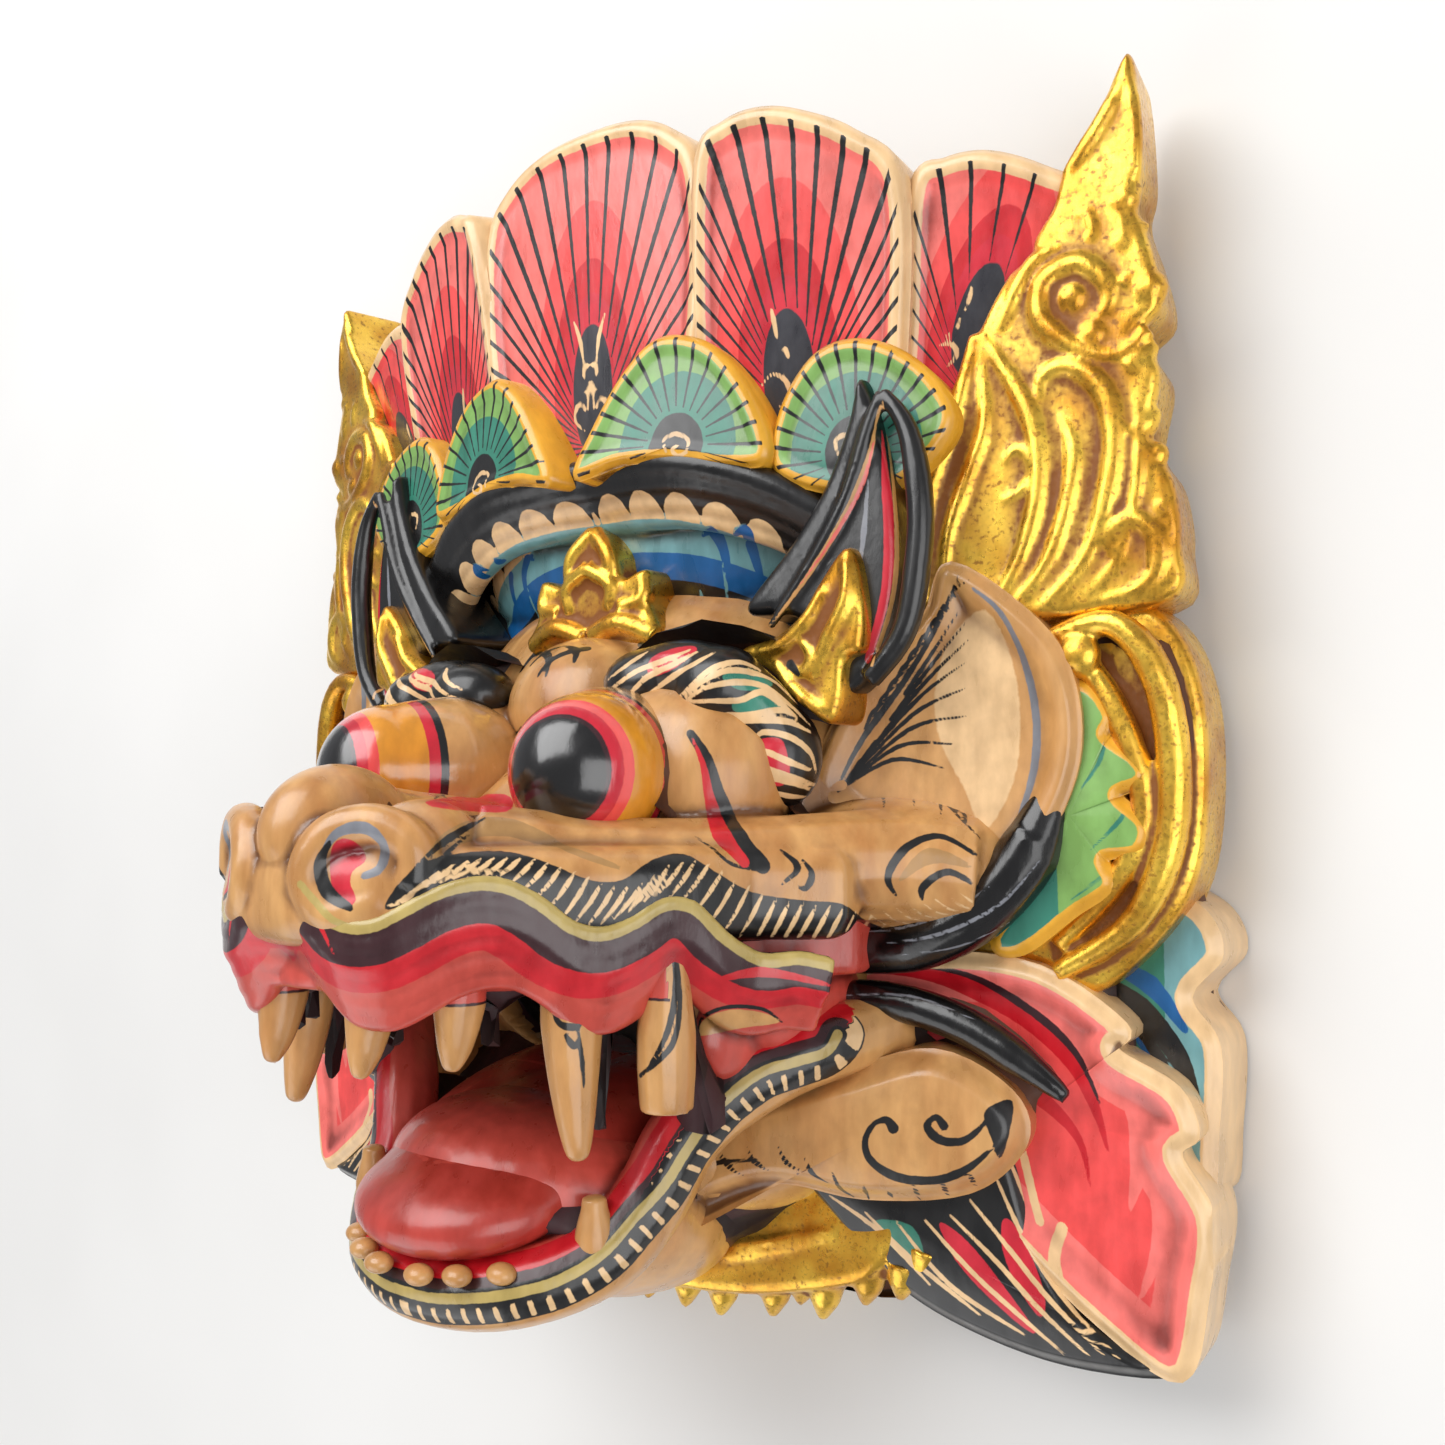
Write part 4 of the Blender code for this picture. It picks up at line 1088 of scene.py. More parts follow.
def eyes():
    radius = sizes().eye_radius / CM
    gaze = np.array((math.sin(GAZE_TURN), 0, math.cos(GAZE_TURN)))
    centre = np.array(PUPIL) - gaze * radius
    bpy.ops.mesh.primitive_uv_sphere_add(segments=96, ring_count=64, radius=radius * CM)
    piece = bpy.context.object
    piece.name = "eyes"
    for vertex in piece.data.vertices:
        if vertex.co.z < 0:
            vertex.co.z *= EYE_LENGTH / radius
            wide = 1 + EYE_FLARE * min(1.0, -vertex.co.z / 0.022)
            fall = math.sqrt(max(0.0, 1 - (vertex.co.z / (EYE_LENGTH * CM)) ** 2))
            size = math.hypot(vertex.co.x, vertex.co.y) or 1.0
            rim = radius * CM * wide * (0.55 + 0.45 * fall) / size if fall > 0.15 else 1.0
            vertex.co.x *= rim
            vertex.co.y *= rim
    piece.rotation_euler = (0, GAZE_TURN, 0)
    piece.location = [c * CM for c in centre]
    clear_selection()
    piece.select_set(True)
    bpy.ops.object.transform_apply(location=True, rotation=True, scale=True)
    mirror = piece.modifiers.new("mirror", "MIRROR")
    mirror.use_mirror_merge = False
    apply_all(piece)
    bpy.ops.object.shade_smooth()
    toward = np.array((math.sin(PAINT_TURN), 0, math.cos(PAINT_TURN)))
    back = sizes().eye_radius / MM - (corners(piece) - centre * CM) @ toward / MM
    coats = [(name, back - reach) for name, reach in EYE_RINGS]
    lacquer(piece, "cream", coats, wood=0.0, stain_and_shade=0.2, gloss=0.08, gleam=1.0, share=1)
    hand_in(piece)


LIP_LINE = [(300, 884), (314, 900), (336, 922), (368, 926), (400, 912), (434, 894), (470, 884), (505, 886),
            (540, 904), (570, 927), (602, 934), (634, 922), (664, 904), (694, 908), (724, 938), (762, 960),
            (800, 958), (836, 966)]
MOUSTACHE = [(384, 908), (402, 880), (430, 860), (470, 852), (510, 852), (548, 863), (590, 880), (622, 880),
             (652, 860), (684, 854), (716, 872), (752, 892), (800, 900), (842, 904), (868, 922), (900, 934),
             (872, 948), (836, 958), (800, 952), (762, 954), (724, 932), (694, 902), (664, 898), (634, 916),
             (602, 928), (570, 920), (540, 897), (505, 880), (470, 877), (434, 888), (400, 906)]


def muzzle_forms():
    """Forehead, sockets, cheeks, nose and snout."""
    return [ball((0, -4.5, 0.5), (12.4, 11.0, 8.9)), ball((0, 0.2, 6.8), (3.2, 2.5, 3.0)),
            ball((5.0, -2.2, 8.2), (3.9, 3.2, 3.0)),
            tube([(3.4, -4.7, 15.6), (6.0, -5.1, 12.4), (8.6, -5.1, 9.0), (11.0, -4.9, 6.4),
                  (13.4, -5.1, 4.8)], 1.7, 1.0),
            ball((10.8, -4.9, 4.8), (4.2, 2.1, 2.9), (0, math.radians(20), 0)),
            tube([(0, -2.4, 8.6), (0, -4.4, 11.4), (0, -4.4, 14.2), (0, -4.0, 17.0)], 1.7, 0.95),
            ball((0, -3.9, 17.7), (1.7, 2.0, 2.4)), ball((2.9, -4.7, 17.0), (1.8, 1.8, 2.0)),
            ball((0, -4.8, 14.6), (4.4, 1.4, 3.0)), tube(NOSTRIL_PATH, 0.6, (1, 1, 1)),
            plan_slab(whole(LIP_PLAN), -7.0, -4.2, 0.9)]


HATCH_START = 396
HATCH_REACH = 470
TAIL_START = (870, 930)
TAIL_STEP = (13, -3)
STITCH_START = (440, 792)
STITCH_REACH = (76, -60)
FACE_STROKES = [
    area(MOUSTACHE),
    line([(408, 876), (436, 848), (466, 828), (486, 818)], 0.6, 2.2, 0.8),
    line([(424, 878), (448, 852), (470, 834)], 0.4, 1.4, 0.5),
    line([(780, 850), (795, 862), (796, 872), (782, 884)], 0.8, 2.2, 0.8),
    line([(803, 860), (812, 874), (806, 888), (797, 886)], 0.8, 2.2, 0.8),
    line([(896, 896), (888, 876), (906, 848), (940, 836), (978, 856)], 0.8, 2.6, 2.4, 1.0),
    line([(922, 900), (924, 886), (950, 872), (986, 893)], 0.8, 2.6, 2.0, 1.0),
    line([(520, 672), (535, 654), (548, 656), (546, 676)], 1.2, 3.2, 3.0, 1.0),
    line([(565, 646), (576, 650), (574, 662)], 1.0, 3.0, 1.2),
    line([(835, 797), (870, 790), (905, 790), (940, 800), (962, 820), (980, 838)], 0.8, 1.8, 1.2,
          0.6),
]
CHEEK_CURLS = ((868, 790), (898, 788), (925, 796), (950, 808))
LID = [line([(692, 738), (703, 765), (710, 800), (722, 835), (744, 862)], 0.6, 1.8, 3.2, 6.0, 3.5)]
LID_EDGE = [
    line([(690, 733), (706, 758), (717, 795), (734, 836), (763, 866)], 2.5, 3.5, 5.0, 8.0, 4.5),
    line([(694, 836), (712, 848), (732, 864), (760, 870)], 0.5, 1.2, 1.2, 1.0),
]
NOSTRIL_CRIMSON = [
    area([(331, 850), (344, 838), (360, 846), (366, 860), (354, 870), (350, 882), (356, 900),
          (344, 908), (332, 890)]),
    area([(430, 800), (504, 794), (506, 812), (440, 808)]),
]
NOSTRIL_EDGE = [line([(350, 908), (328, 892), (320, 864), (330, 842)], 2.0, 4.0, 3.4, 1.0)]
NOSTRIL_GREY = [
    line([(320, 860), (336, 834), (364, 828), (384, 846), (380, 868), (364, 876)], 1.0, 3.4, 3.0,
          2.0),
]
# Painted shade beside the folds of the nose and cheeks, in the ground colour.
FACE_SHADE = [
    line([(410, 880), (450, 840), (500, 826), (560, 846), (620, 868)], 1, 5, 7, 4, 1),
    line([(900, 880), (930, 856), (970, 866)], 1, 5, 1),
]


def face():
    piece = carve("face", muzzle_forms(), grain=0.0012, soften=5, cuts=[mouth_cutter(), hollow_cutter()])
    skin = skin_of(piece)
    points = corners(piece)
    slant = []
    upper_edge = MOUSTACHE[:16]
    for k in range(36):
        x = HATCH_START + HATCH_REACH * (k / 35)
        top = float(np.interp(x, [p[0] for p in upper_edge], [p[1] for p in upper_edge]))
        low = float(np.interp(x, [p[0] for p in LIP_LINE], [p[1] for p in LIP_LINE]))
        slant.append(line([(x + 18, top + 5), (x + 5, (top + low) / 2), (x - 10, low - 7)],
                          0.5, 1.5, 1.1, 0.5))
    for k in range(9):
        x, y = TAIL_START[0] + TAIL_STEP[0] * k, TAIL_START[1] + TAIL_STEP[1] * k
        slant.append(line([(x, y - 16), (x + 14, y - 6), (x + 34, y - 2)], 0.3, 0.9, 0.3))
    black = list(FACE_STROKES)
    for x, y in CHEEK_CURLS:
        black.append(line([(x, y), (x + 14, y + 6), (x + 16, y + 18)], 0.9, 1.3, 0.4))
    stitches = []
    for k in range(11):
        share = k / 10
        x, y = STITCH_START[0] + STITCH_REACH[0] * share, STITCH_START[1] + STITCH_REACH[1] * share ** 1.3
        stitches.append(line([(x - 6, y - 6), (x + 6, y + 6)], 0.9, 0.9))
        stitches.append(line([(x - 5, y + 7), (x + 6, y - 5)], 0.9, 0.9))
    black += NOSTRIL_EDGE
    # The ground coat is painted shade beside the folds.
    lacquer(piece, "cream", [("ground", marks(piece, FACE_SHADE, points, skin)),
                             ("crimson", marks(piece, NOSTRIL_CRIMSON, points, skin)),
                             ("grey", marks(piece, NOSTRIL_GREY, points, skin)),
                             ("black", marks(piece, black + stitches + LID_EDGE, points, skin)),
                             ("red", marks(piece, LID, points, skin)),
                             ("pale", marks(piece, slant, points, skin)),
                             ("khaki", marks(piece, [line(LIP_LINE, 2.0, 2.0)], points, skin))], wood=0.6)
    hand_in(piece)


LIP_STREAKS = [
    line([(300, 893), (298, 925), (295, 960)], 1.5, 2.5, 1.0),
    line([(300, 893), (278, 925), (262, 950)], 0.6, 1.4, 0.5),
    line([(302, 893), (322, 930), (334, 955)], 0.6, 1.4, 0.5),
    line([(700, 985), (760, 972), (830, 985)], 0.8, 3.0, 1.0),
]
POCKET = [area([(698, 1036), (704, 1020), (728, 1010), (760, 1012), (780, 1022), (742, 1028)])]
POCKET_EDGE = [
    line([(698, 1038), (702, 1018), (728, 1007), (762, 1009), (782, 1022)], 0.6, 1.4, 1.4, 0.6),
]


def upper_lip():
    """The wavy lip and the gum that hang from the gold line, around the snout."""
    muzzle = carve("muzzle", [plan_slab(whole(LIP_PLAN), -9.0, -3.0, 0.3)], grain=0.002, soften=0)
    path = traced(skin_of(muzzle), LIP_LINE, 4) / CM
    bpy.data.objects.remove(muzzle)
    path[0] = (0, -5.3, 19.5)
    front = np.vstack([path[::-1], path[1:] * (-1, 1, 1)])
    taper = np.interp(front[:, 2], (5.0, 11.0, 15.0), (0.35, 0.8, 1.0))

    def below(drop, inward, radius):
        away = front - np.array((0, 0, 4.0))
        away[:, 1] = 0
        away /= np.linalg.norm(away, axis=1)[:, None]
        shifted = front - away * inward
        shifted[:, 1] -= drop * taper
        return tube([tuple(p) for p in shifted[::2]], radius)

    forms = [below(0.0, 0.12, 0.24), below(0.5, 0.35, 0.45), below(1.0, 0.45, 0.5), below(1.5, 0.7, 0.5),
             below(2.0, 0.9, 0.5), below(2.5, 1.05, 0.42), plan_slab(whole(GUM_PLAN), -8.2, -5.0, 0.3),
             ball((8.6, -9.0, 6.6), (1.1, 2.0, 3.0)), ball((7.7, -9.8, 8.4), (0.9, 1.7, 2.4))]
    piece = carve("upper_lip", forms, soften=8, cuts=[mouth_cutter(), hollow_cutter()])
    points = corners(piece)
    away = line_distance(points / CM, path)[0]
    share = np.interp(points[:, 2] / CM, (5.0, 11.0, 15.0), (0.45, 0.85, 1.0))
    coats = [("red", (away - 1.8 * share) * 10), ("maroon", (away - 1.05 * share) * 10),
             ("khaki", (away - 0.21) * 10), ("red", marks(piece, LIP_STREAKS)),
             ("cream", marks(piece, POCKET)), ("black", marks(piece, POCKET_EDGE))]
    lacquer(piece, "gum", coats, wood=0.25)
    hand_in(piece)


TOOTH_MARKS = [
    line([(552, 1008), (560, 1024), (578, 1026), (580, 1010)], 1.0, 2.2, 1.0),
    line([(566, 1036), (574, 1046), (580, 1040)], 1.5, 2.0, 1.0),
    line([(578, 1030), (582, 1060), (584, 1088)], 0.8, 1.6, 0.6),
    line([(668, 930), (676, 980), (668, 1030), (650, 1066)], 0.8, 1.8, 1.8, 1.0),
    line([(676, 950), (680, 1000), (672, 1045), (640, 1076)], 0.8, 1.6, 1.8, 1.2),
]


def teeth():
    radius = sizes().tooth_radius / CM
    down = (0, -1, 0)
    forms = [spike((2.0, -7.9, 18.0), down, 2.6, radius, 0.35, (0, 0, 0.4)),
             spike((4.0, -7.9, 16.6), down, 2.4, radius, 0.35, (0, 0, 0.3)),
             spike((5.9, -7.9, 14.2), down, 4.9, 0.9, 0.4, (0.5, 0, 0.2)),
             spike((7.75, -10.4, 12.3), (0.02, 1, 0.03), 4.0, 0.85, 0.75, (0, 0, -0.1)),
             spike((5.0, -15.9, 12.2), (0, 1, 0.05), 1.5, 0.62, 0.6),
             ball((0.9, -16.7, 15.3), (0.5, 0.32, 0.42)), ball((2.1, -16.6, 14.9), (0.5, 0.32, 0.42)),
             ball((3.2, -16.5, 14.2), (0.5, 0.32, 0.42))]
    piece = carve("teeth", forms, grain=0.0009)
    points = corners(piece)
    upper = (points[:, 2] / CM > 12.8) & (points[:, 1] / CM > -11)
    roots = np.where(upper, (-8.4 - points[:, 1] / CM) * 10, FAR_FIELD)
    lacquer(piece, "cream", [("maroon", roots - 0.8), ("gum", roots), ("black", marks(piece, TOOTH_MARKS))],
            wood=0.5)
    hand_in(piece)


LOWER_LINE = [(838, 1034), (826, 1052), (795, 1062), (762, 1072), (734, 1092), (712, 1114), (688, 1148),
              (664, 1186), (634, 1218), (602, 1254), (560, 1280), (520, 1292), (480, 1298), (430, 1298),
              (395, 1288)]
MOUTH_INSIDE = [
    (845, 1030), (795, 1062), (725, 1085), (675, 1140), (630, 1215), (560, 1280), (480, 1298),
    (395, 1290), (330, 1240), (320, 1150), (380, 1060), (500, 1000), (700, 990), (840, 1000),
]
TONGUE_SWIRL = [
    line([(400, 1120), (430, 1100), (470, 1098), (500, 1112), (496, 1130), (462, 1136)], 0.8, 2.2,
          2.0, 0.8),
    line([(420, 1160), (480, 1160), (540, 1130), (580, 1090)], 0.6, 1.8, 1.4, 0.5),
    line([(380, 1090), (440, 1066), (520, 1060), (570, 1072)], 0.6, 1.6, 1.4, 0.5),
]


def lower_jaw():
    forms = [tube(whole_path(LOWER_LIP_PATH), 1.15),
             ball((0, -15.9, 8.2), (5.6, 3.2, 6.2), (math.radians(-20), 0, 0)),
             ball((0, -14.2, 4.0), (8.6, 3.0, 6.0))]
    piece = carve("lower_lip", forms, cuts=[hollow_cutter()])
    points = corners(piece)
    path = traced(skin_of(piece), LOWER_LINE)
    away, along = line_distance(points, path)
    away /= MM
    side = area_field(points, MOUTH_INSIDE)
    inner = (side < 0) & (points[:, 2] > 0.045)
    outer = np.where(inner, FAR_FIELD, 0)
    beat = np.abs((along / 0.0052 + 0.5) % 1 - 0.5) * 5.2 - 0.8
    dashes = np.maximum(beat, np.abs(away - 5.4) - 2.6) + outer
    coats = [("gum", np.where(inner, -1.0, FAR_FIELD)), ("red", np.where(inner, away - 12.0, FAR_FIELD)),
             ("maroon", np.where(inner, away - 5.5, FAR_FIELD)), ("black", away - 8.6 + outer),
             ("pale", dashes), ("khaki", away - 1.5)]
    lacquer(piece, "cream", coats, wood=0.4)
    hand_in(piece)
    tip = math.radians(13)
    tongue = carve("tongue", [ball((0, -14.1, 9.2), (4.5, 2.0, 6.6), (tip, 0, 0)),
                              ball((0, -15.0, 12.6), (3.9, 1.5, 3.2), (tip, 0, 0)),
                              ball((2.0, -13.2, 8.0), (2.3, 1.5, 5.2), (tip, 0, 0))], soften=20)
    lacquer(tongue, "tongue", [("gum", marks(tongue, TONGUE_SWIRL))], wood=0.5)
    hand_in(tongue)


TUFT_LINES = [
    [(895, 1220), (950, 1285), (1025, 1335)],
    [(925, 1220), (980, 1280), (1065, 1355)],
    [(950, 1215), (995, 1260), (1040, 1310), (1090, 1357)],
    [(970, 1200), (1010, 1250), (1050, 1300), (1105, 1357)],
    [(995, 1175), (1025, 1240), (1065, 1300), (1120, 1360)],
    [(865, 1212), (915, 1262), (980, 1315)],
    [(1005, 1150), (1028, 1205), (1040, 1240)],
    [(830, 1196), (880, 1232), (930, 1285)],
]
FRINGE_TIPS = [(720, 1150), (747, 1146), (778, 1146), (804, 1157), (832, 1172), (862, 1184), (888, 1190),
               (914, 1186), (942, 1182), (968, 1170)]
JAW_CURLS = [
    line([(893, 1128), (886, 1120), (873, 1125), (865, 1142), (872, 1162), (900, 1178), (940, 1180),
          (970, 1167), (990, 1150)], 3.4, 1.4, 2.0, 3.0, 2.8, 1.0),
    line([(944, 1126), (936, 1117), (927, 1126), (940, 1140), (965, 1140), (988, 1120)], 2.8, 1.4,
          2.8, 2.4, 1.0),
]
JAW_EDGE = [
    line([(705, 1168), (722, 1162), (760, 1160)], 0.5, 1.6, 0.5),
    area([(984, 1112), (1012, 1100), (1010, 1130), (1000, 1160), (992, 1140)]),
]
RIDGE_ABOVE = line([(800, 985), (850, 968), (900, 966), (970, 986), (1030, 1020), (1072, 1062),
    (1096, 1110), (1108, 1152)], 3.0, 6.0, 7.0, 6.0, 3.5, 0.6)
RIDGE_BELOW = line([(810, 1024), (885, 1026), (950, 1042), (1000, 1070), (1050, 1106), (1080, 1142),
    (1090, 1186)], 2.0, 5.0, 6.0, 5.0, 2.5, 0.5)
FLAME_MAROON = [
    line([(900, 962), (970, 976), (1030, 1010), (1075, 1052), (1100, 1104)], 0.6, 2.6, 2.6, 0.6),
]
FLAME_SALMON = [
    line([(1110, 1070), (1135, 1110), (1140, 1160), (1130, 1210)], 1, 6, 6, 1),
    line([(960, 975), (1020, 985), (1070, 1008)], 0.8, 3.0, 0.8),
    line([(1150, 1180), (1160, 1240), (1140, 1300)], 1, 5, 1),
]
FLAME_NOTCHES = [
    line([(1062, 1228), (1054, 1262), (1068, 1300), (1098, 1336), (1140, 1360)], 3.5, 3.5, 3.5),
    line([(1010, 1108), (1022, 1150), (1034, 1200), (1040, 1222)], 2.5, 2.5, 2.5),
]
RIDGE_LINE = [(795, 1005), (850, 998), (910, 1005), (970, 1028), (1025, 1064), (1067, 1098)]
RIDGE_GLINT = [line([(830, 996), (910, 996), (980, 1022)], 0.3, 0.9, 0.3)]
TUFT_GREEN = [area([(872, 1222), (912, 1226), (924, 1262), (900, 1254)])]
TUFT_RED = [
    area([(940, 1222), (968, 1242), (1002, 1284), (1036, 1332), (1016, 1322), (968, 1276),
          (948, 1246)]),
    area([(1004, 1218), (1022, 1236), (1044, 1292), (1040, 1318), (1014, 1280), (1002, 1246)]),
    area([(750, 1168), (792, 1188), (770, 1194)]),
]


def lobes():
    thick = sizes().lobe_thickness

    def rolled(rim, share):
        return 0.2 * ease(1.2, 0.4, rim) - 0.3 * ease(0.45, 0.0, rim) - 0.25 * (1 - share ** 2)

    def swollen(rim, share):
        return 0.35 * (1 - share ** 2) - 0.5 * ease(0.7, 0.0, rim)

    def combed(rim, share):
        return 0.3 * (1 - share ** 2) - 0.4 * ease(0.5, 0, rim)

    part = dish(JAW_LOBE, (10.5, -12.9), 7.0, thick, (0, math.radians(16), 0), swollen, 180, 46)
    jaw = assemble("jaw_lobes", [part], (True,))[0]
    curls = list(JAW_CURLS)
    for x, y in FRINGE_TIPS:
        curls.append(line([(x, y), (x + 8, y + 16), (x + 24, y + 26)], 0.4, 1.8, 0.5))
    curls += JAW_EDGE
    lacquer(jaw, "cream", [("black", marks(jaw, curls))], wood=0.5, share=1)
    hand_in(jaw)
    part = dish(FLAME_LOBE, (14.6, -12.2), 4.1, thick, (0, math.radians(7), 0), rolled, 220, 50)
    flame, data = assemble("flame_lobes", [part], (True,))
    lacquer(flame, "salmon", [("coral", (1.5 - data["rim"]) * 10), ("salmon", marks(flame, FLAME_SALMON)),
                              ("red", marks(flame, [RIDGE_ABOVE, RIDGE_BELOW])),
                              ("maroon", marks(flame, FLAME_MAROON)), ("pale", (data["rim"] - 0.5) * 10),
                              ("pale", marks(flame, FLAME_NOTCHES))],
            wood=0.1, share=1)
    hand_in(flame)
    ridge = carve("flame_ridges", [tube([on_plane(p, 5.0, 0.12, 14.0) for p in RIDGE_LINE], 0.6,
                                        (0.7, 1, 1, 0.9, 0.35))])
    lacquer(ridge, "black", [("grey", marks(ridge, RIDGE_GLINT))],
            wood=0.0, gloss=0.12)
    hand_in(ridge)
    part = dish(TUFT, (12.6, -16.6), 4.5, thick, (0, math.radians(8), 0), combed, 190, 46)
    tuft = assemble("tufts", [part], (True,))[0]
    stripes = [line(pixels, 0.7, 1.5, 1.6, 0.7) for pixels in TUFT_LINES]
    lacquer(tuft, "black", [("teal", marks(tuft, TUFT_GREEN)), ("crimson", marks(tuft, TUFT_RED)),
                            ("pale", marks(tuft, stripes))], wood=0.0, share=1)
    hand_in(tuft)


COLLAR_TIPS = [(648, 1298), (685, 1307), (720, 1316), (772, 1317), (800, 1305), (822, 1320), (865, 1306),
               (900, 1301), (922, 1286)]
SCROLL_KNOB = (1078, 655)
SPRAY_VEINS = [
    line([(1080, 790), (1100, 760), (1108, 726)], 0.4, 1.4, 0.4),
    line([(1090, 850), (1120, 820), (1136, 790)], 0.4, 1.4, 0.4),
    line([(1070, 900), (1110, 870), (1130, 846)], 0.4, 1.4, 0.4),
]
SWEEP_GLINTS = [
    line([(880, 944), (940, 934), (1000, 904), (1040, 860)], 0.3, 1.2, 1.0, 0.4),
    line([(860, 932), (900, 928), (950, 912), (990, 886)], 0.3, 0.9, 0.9, 0.3),
    line([(900, 955), (960, 946), (1010, 922)], 0.3, 0.8, 0.3),
]
BLUE_LEAF_DARK = [
    line([(1090, 975), (1140, 1010), (1180, 1060), (1200, 1120)], 4, 8, 6, 2),
    line([(1120, 1010), (1160, 1060), (1180, 1130)], 1, 4, 1),
]
BLUE_LEAF_ROYAL = [
    line([(1100, 960), (1150, 985), (1185, 1030)], 3, 6, 2),
    line([(1140, 1040), (1165, 1070)], 3, 3),
]


def borders():
    thick = sizes().lobe_thickness
    lean = (0, math.radians(6), 0)
    scroll = carve("gilded_scrolls", [slab(SCROLL, 3.6, thick, lean), tube(SCROLL_RIM, 0.5, (0.6, 1, 1, 0.6)),
                                      tube(SCROLL_INNER, 0.42, (0.6, 1, 1, 0.6)),
                                      ball(on_plane(SCROLL_KNOB, 4.3), (0.7, 0.7, 0.5))])
    gilding(scroll)
    hand_in(scroll)

    def raised(rim, share):
        return 0.25 * (1 - share) - 0.25 * ease(0.3, 0, rim)

    def rounded(rim, share):
        return -0.3 * ease(0.4, 0, rim)

    part = dish(SPRAY, (16.3, -3.4), 4.4, SPRAY_THICKNESS, lean, raised, 160, 24)
    leaf, data = assemble("green_sprays", [part], (True,))
    lacquer(leaf, "green", [("teal", (data["flat"][:, 0] - 15.9) * 10), ("teal", marks(leaf, SPRAY_VEINS)),
                            ("ochre", (data["rim"] - 0.34) * 10)], wood=0.1, share=1)
    hand_in(leaf)
    sweep = carve("black_sweeps", [tube(SWEEP_PATH, 0.95, (0.8, 1, 1, 1, 0.4)),
                                   tube([(12.6, -6.4, 5.4), (14.4, -5.4, 5.2), (15.4, -4.0, 4.9)], 0.7)])
    lacquer(sweep, "black", [("grey", marks(sweep, SWEEP_GLINTS))], wood=0.0, gloss=0.12)
    hand_in(sweep)
    part = dish(BLUE_LEAF, (16.9, -8.6), 2.5, BLUE_LEAF_THICKNESS, (0, 0, 0), rounded, 140, 26, grow=0.0)
    blue, data = assemble("blue_leaves", [part], (True,))
    lacquer(blue, "sky", [("teal", (data["flat"][:, 0] - 18.3) * 10), ("blue", marks(blue, BLUE_LEAF_ROYAL)),
                          ("black", marks(blue, BLUE_LEAF_DARK)), ("pale", (data["rim"] - 0.42) * 10)],
            wood=0.1, share=1)
    hand_in(blue)
    tips = []
    for x, y in COLLAR_TIPS:
        tip = on_plane((x, y), 4.4)
        root = on_plane((x + 6, y - 40), 4.5)
        tips.append(tube([root, tuple((a + b) / 2 for a, b in zip(root, tip)), tip], 0.62, (1.0, 0.8, 0.12)))
    plate = slab(whole(COLLAR), 5.2, 0.022, (math.radians(-6), 0, 0))
    body = ball((0, -17.0, 1.5), (8.6, 2.6, 3.3))
    collar = carve("collar", [plate, tube(HOOP_PATH, 0.26), body] + tips, cuts=[hollow_cutter()])
    gilding(collar)
    hand_in(collar)


PETAL_FALL = 0.268
PETAL_RISE = 0.14


def crown_depth(wide, tall):
    """How high, in cm, the plain wood may reach behind the petals and the wings."""
    if tall < 3 or (tall < 10 and wide < 11.5):
        return FAR_FIELD * 10
    if wide < 4.9:
        return 5.4
    if wide < 11.3:
        return 4.8 - PETAL_FALL * (wide - 7.8) + PETAL_RISE * (tall - 13.5)
    return max(1.0, 2.6 - PETAL_FALL * (wide - 13.6) + PETAL_RISE * (tall - 12.5))


BACK_DRAWN_IN = 1.2
CROWN_DRAWN_IN = 5.5
BACK_LOWERED = 6.5
BROW_LOWERED = 18
COLLAR_LOWERED = 9


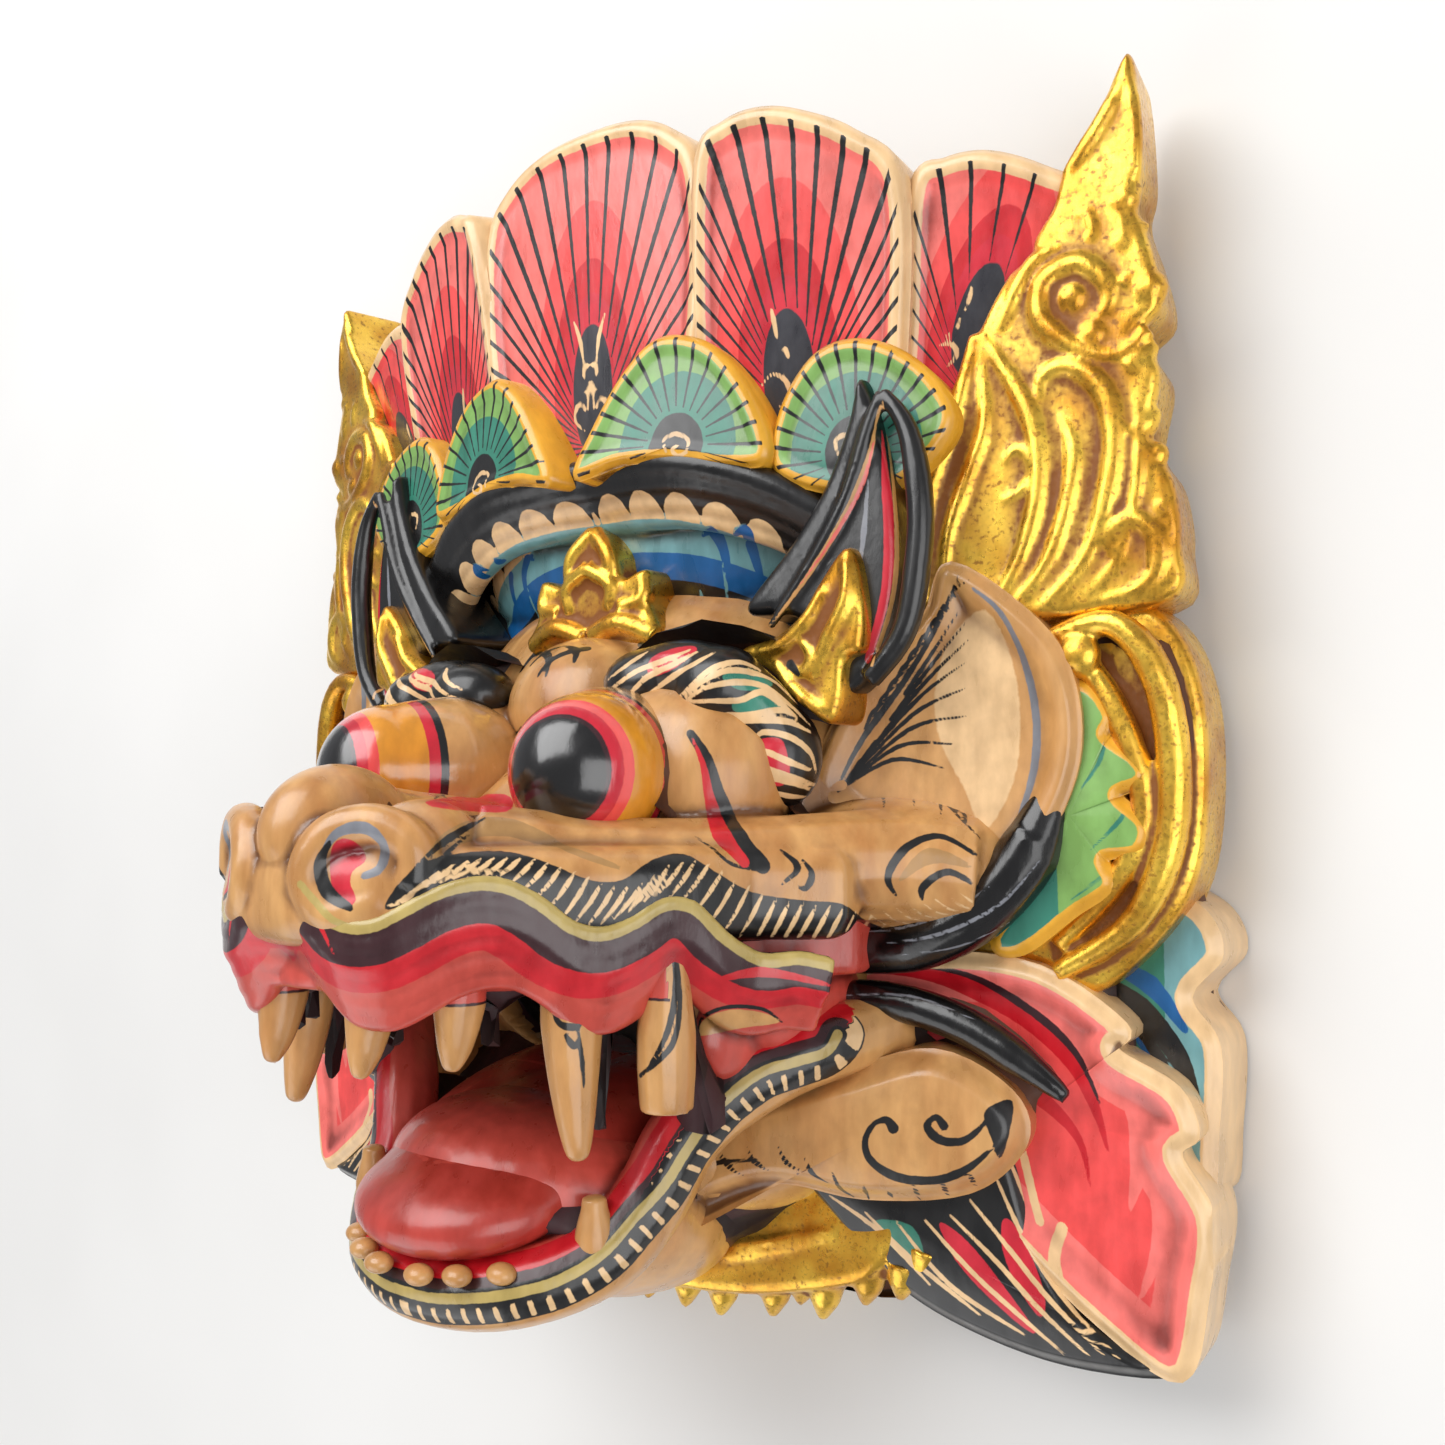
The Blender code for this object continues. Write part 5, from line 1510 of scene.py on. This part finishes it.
def back_wood():
    """The plain carved wood behind the face: the frame's own solid, drawn in a little all round."""
    node = frame["nodes"]["carved_mask"]
    mesh = node.data.copy()
    mesh.name = "plain_back"
    piece = bpy.data.objects.new("plain_back", mesh)
    bpy.context.scene.collection.objects.link(piece)
    clear_selection()
    piece.select_set(True)
    bpy.context.view_layer.objects.active = piece
    bpy.ops.object.mode_set(mode="EDIT")
    bpy.ops.mesh.select_all(action="SELECT")
    bpy.ops.mesh.remove_doubles(threshold=0.00001)
    bpy.ops.object.mode_set(mode="OBJECT")
    normals = [v.normal.copy() for v in piece.data.vertices]
    for vertex, normal in zip(piece.data.vertices, normals):
        if vertex.co.z > 0.004:
            outside = vertex.co.y > 0.09 or (vertex.co.y > 0.02 and abs(vertex.co.x) > 0.115)
            vertex.co -= normal * (CROWN_DRAWN_IN if outside else BACK_DRAWN_IN) * MM
            upward = max(0.0, min(1.0, normal.z * 2.5))
            vertex.co.z -= min(0.4 * vertex.co.z, BACK_LOWERED * MM) * upward
            wide, tall = vertex.co.x / 0.096, (vertex.co.y - 0.062) / 0.042
            if -0.45 < tall < 0.7 and abs(wide) < 1 and vertex.co.z > 0.035:
                dome = max(0.0, 1 - wide ** 2 - tall ** 2) ** 0.5
                vertex.co.z = min(vertex.co.z, 0.022 + 0.036 * dome)
            if -0.045 < vertex.co.y < 0.045 and 0.015 < abs(vertex.co.x) < 0.112 and vertex.co.z > 0.05:
                vertex.co.z = max(0.05, vertex.co.z - BROW_LOWERED * MM * upward)
            if vertex.co.y < -0.16 and vertex.co.z > 0.02:
                vertex.co.z = max(0.02, vertex.co.z - COLLAR_LOWERED * MM * upward)
            vertex.co.z = min(vertex.co.z, crown_depth(abs(vertex.co.x) / CM, vertex.co.y / CM) * CM)
        if abs(vertex.co.x) < 0.12:
            vertex.co.y = max(vertex.co.y, -0.188)
    bpy.ops.object.shade_smooth_by_angle(angle=math.radians(40))
    across, up, high = corners(piece).T
    crown = np.maximum(0.1 - up, 0.015 - high) / MM
    shade = np.maximum.reduce([up - 0.09, 0.02 - up, 0.02 - high, across - 0.11]) / MM
    side = np.maximum.reduce([0.02 - up, 0.11 - across]) / MM
    mouth = np.maximum.reduce([up + 0.05, -0.17 - up, across - 0.11, 0.03 - high]) / MM
    # Where the plain wood shows between the pieces, the black coat is painted shade, and the maroon coat in
    # the mouth is the mouth's dark red that also stands in for the shade there.
    coats = [("pale", crown), ("worn_gold", side), ("black", shade), ("maroon", mouth)]
    lacquer(piece, "stain_and_shade", coats, wood=0.4, gloss=0.5, gleam=0.0, share=1)
    hand_in(piece)


LAMPS = [("key", (-0.35, 1.0, 1.25), 1.4, 28), ("fill", (1.3, -0.2, 0.9), 1.2, 12),
         ("front", (-0.5, -1.1, 0.9), 1.2, 7)]
FLOOR_DARK = (0.72, 0.71, 0.69, 1)
FLOOR_LIGHT = (0.78, 0.77, 0.75, 1)


def stage():
    bpy.ops.mesh.primitive_plane_add(size=8, location=(0, 0, 0))
    floor = bpy.context.object
    floor.name = "floor"
    material, tree, shader = new_material("pale_floor")
    tone = mixed(tree, ranged(tree, noise(tree, 3), 0.3, 0.7), FLOOR_DARK, FLOOR_LIGHT)
    tree.links.new(tone, shader.inputs["Base Color"])
    shader.inputs["Roughness"].default_value = 0.7
    floor.data.materials.append(material)
    for name, place, size, power in LAMPS:
        bpy.ops.object.light_add(type="AREA", location=place)
        lamp = bpy.context.object
        lamp.name = name
        lamp.data.size = size
        lamp.data.energy = power
        lamp.rotation_euler = (Vector(place) - Vector((0, 0, 0.08))).to_track_quat("Z", "Y").to_euler()
    world = bpy.data.worlds.new("studio")
    bpy.context.scene.world = world
    world.use_nodes = True
    world.node_tree.nodes["Background"].inputs["Color"].default_value = (0.93, 0.95, 1.0, 1)
    world.node_tree.nodes["Background"].inputs["Strength"].default_value = 0.32
    bpy.context.scene.view_settings.view_transform = "Standard"


def camera():
    bpy.ops.object.camera_add()
    view = bpy.context.object
    view.name = "camera"
    view.data.sensor_width = 36
    view.data.lens = FOCAL / PHOTO_SIDE * 36
    axes = Matrix((RIGHT, UP, -LOOK)).transposed().to_4x4()
    view.matrix_world = Matrix.Translation(EYE) @ axes
    bpy.context.scene.camera = view


def operator(name, label, text, work):
    """An operator class that builds one group."""
    def execute(self, context):
        work()
        return {"FINISHED"}
    return type("MASK_OT_" + name, (bpy.types.Operator,),
                {"bl_idname": "mask." + name, "bl_label": label, "__doc__": text, "execute": execute})


GROUPS = [operator("camera", "Camera", "Adds the camera", camera),
          operator("red_petals", "Red petals", "Carves and paints the crown's five petals", red_petals),
          operator("green_leaves", "Green leaves", "Adds the leaves before the petals", green_leaves),
          operator("forehead_band", "Forehead band", "Adds the arched band", forehead_band),
          operator("horns", "Horns", "Adds the two horns", horns),
          operator("crown_gold", "Crown gold", "Adds the gilded trefoil and side plates", crown_gold),
          operator("wings", "Wings", "Adds the gilded wings", wings),
          operator("ears", "Ears", "Adds the ears", ears),
          operator("brows", "Brows", "Adds the striped brows", brows),
          operator("eyes", "Eyes", "Adds the bulging eyes", eyes),
          operator("face", "Face", "Carves the forehead, nose, cheeks and snout", face),
          operator("upper_lip", "Upper lip", "Adds the wavy lip and the gum", upper_lip),
          operator("teeth", "Teeth", "Adds the teeth, fangs and tusks", teeth),
          operator("lower_jaw", "Lower jaw", "Adds the lower lip and the tongue", lower_jaw),
          operator("lobes", "Lobes", "Adds the jaw lobes, flame lobes and tufts", lobes),
          operator("borders", "Borders", "Adds the scrolls, sprays, leaves and collar", borders),
          operator("back_wood", "Back", "Adds the plain wood behind", back_wood),
          operator("stage", "Stage", "Adds the floor and the lights", stage)]


class MASK_PT_panel(bpy.types.Panel):
    """Lists the mask's groups in the sidebar."""

    bl_label = "Barong Mask"
    bl_space_type = "VIEW_3D"
    bl_region_type = "UI"
    bl_category = "Mask"

    def draw(self, context):
        for group in GROUPS:
            self.layout.operator(group.bl_idname)
        for settings in (context.scene.mask_sizes, context.scene.mask_colours):
            for key in settings.bl_rna.properties.keys():
                if key not in ("rna_type", "name"):
                    self.layout.prop(settings, key)


CLASSES = [MaskSizes, MaskColours, *GROUPS, MASK_PT_panel]


def register():
    for cls in CLASSES:
        bpy.utils.register_class(cls)
    bpy.types.Scene.mask_sizes = PointerProperty(type=MaskSizes)
    bpy.types.Scene.mask_colours = PointerProperty(type=MaskColours)


def unregister():
    del bpy.types.Scene.mask_colours
    del bpy.types.Scene.mask_sizes
    for cls in reversed(CLASSES):
        bpy.utils.unregister_class(cls)


def main():
    register()
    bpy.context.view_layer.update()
    for group in GROUPS:
        getattr(bpy.ops.mask, group.bl_idname.split(".")[1])()


if __name__ == "__main__":
    main()
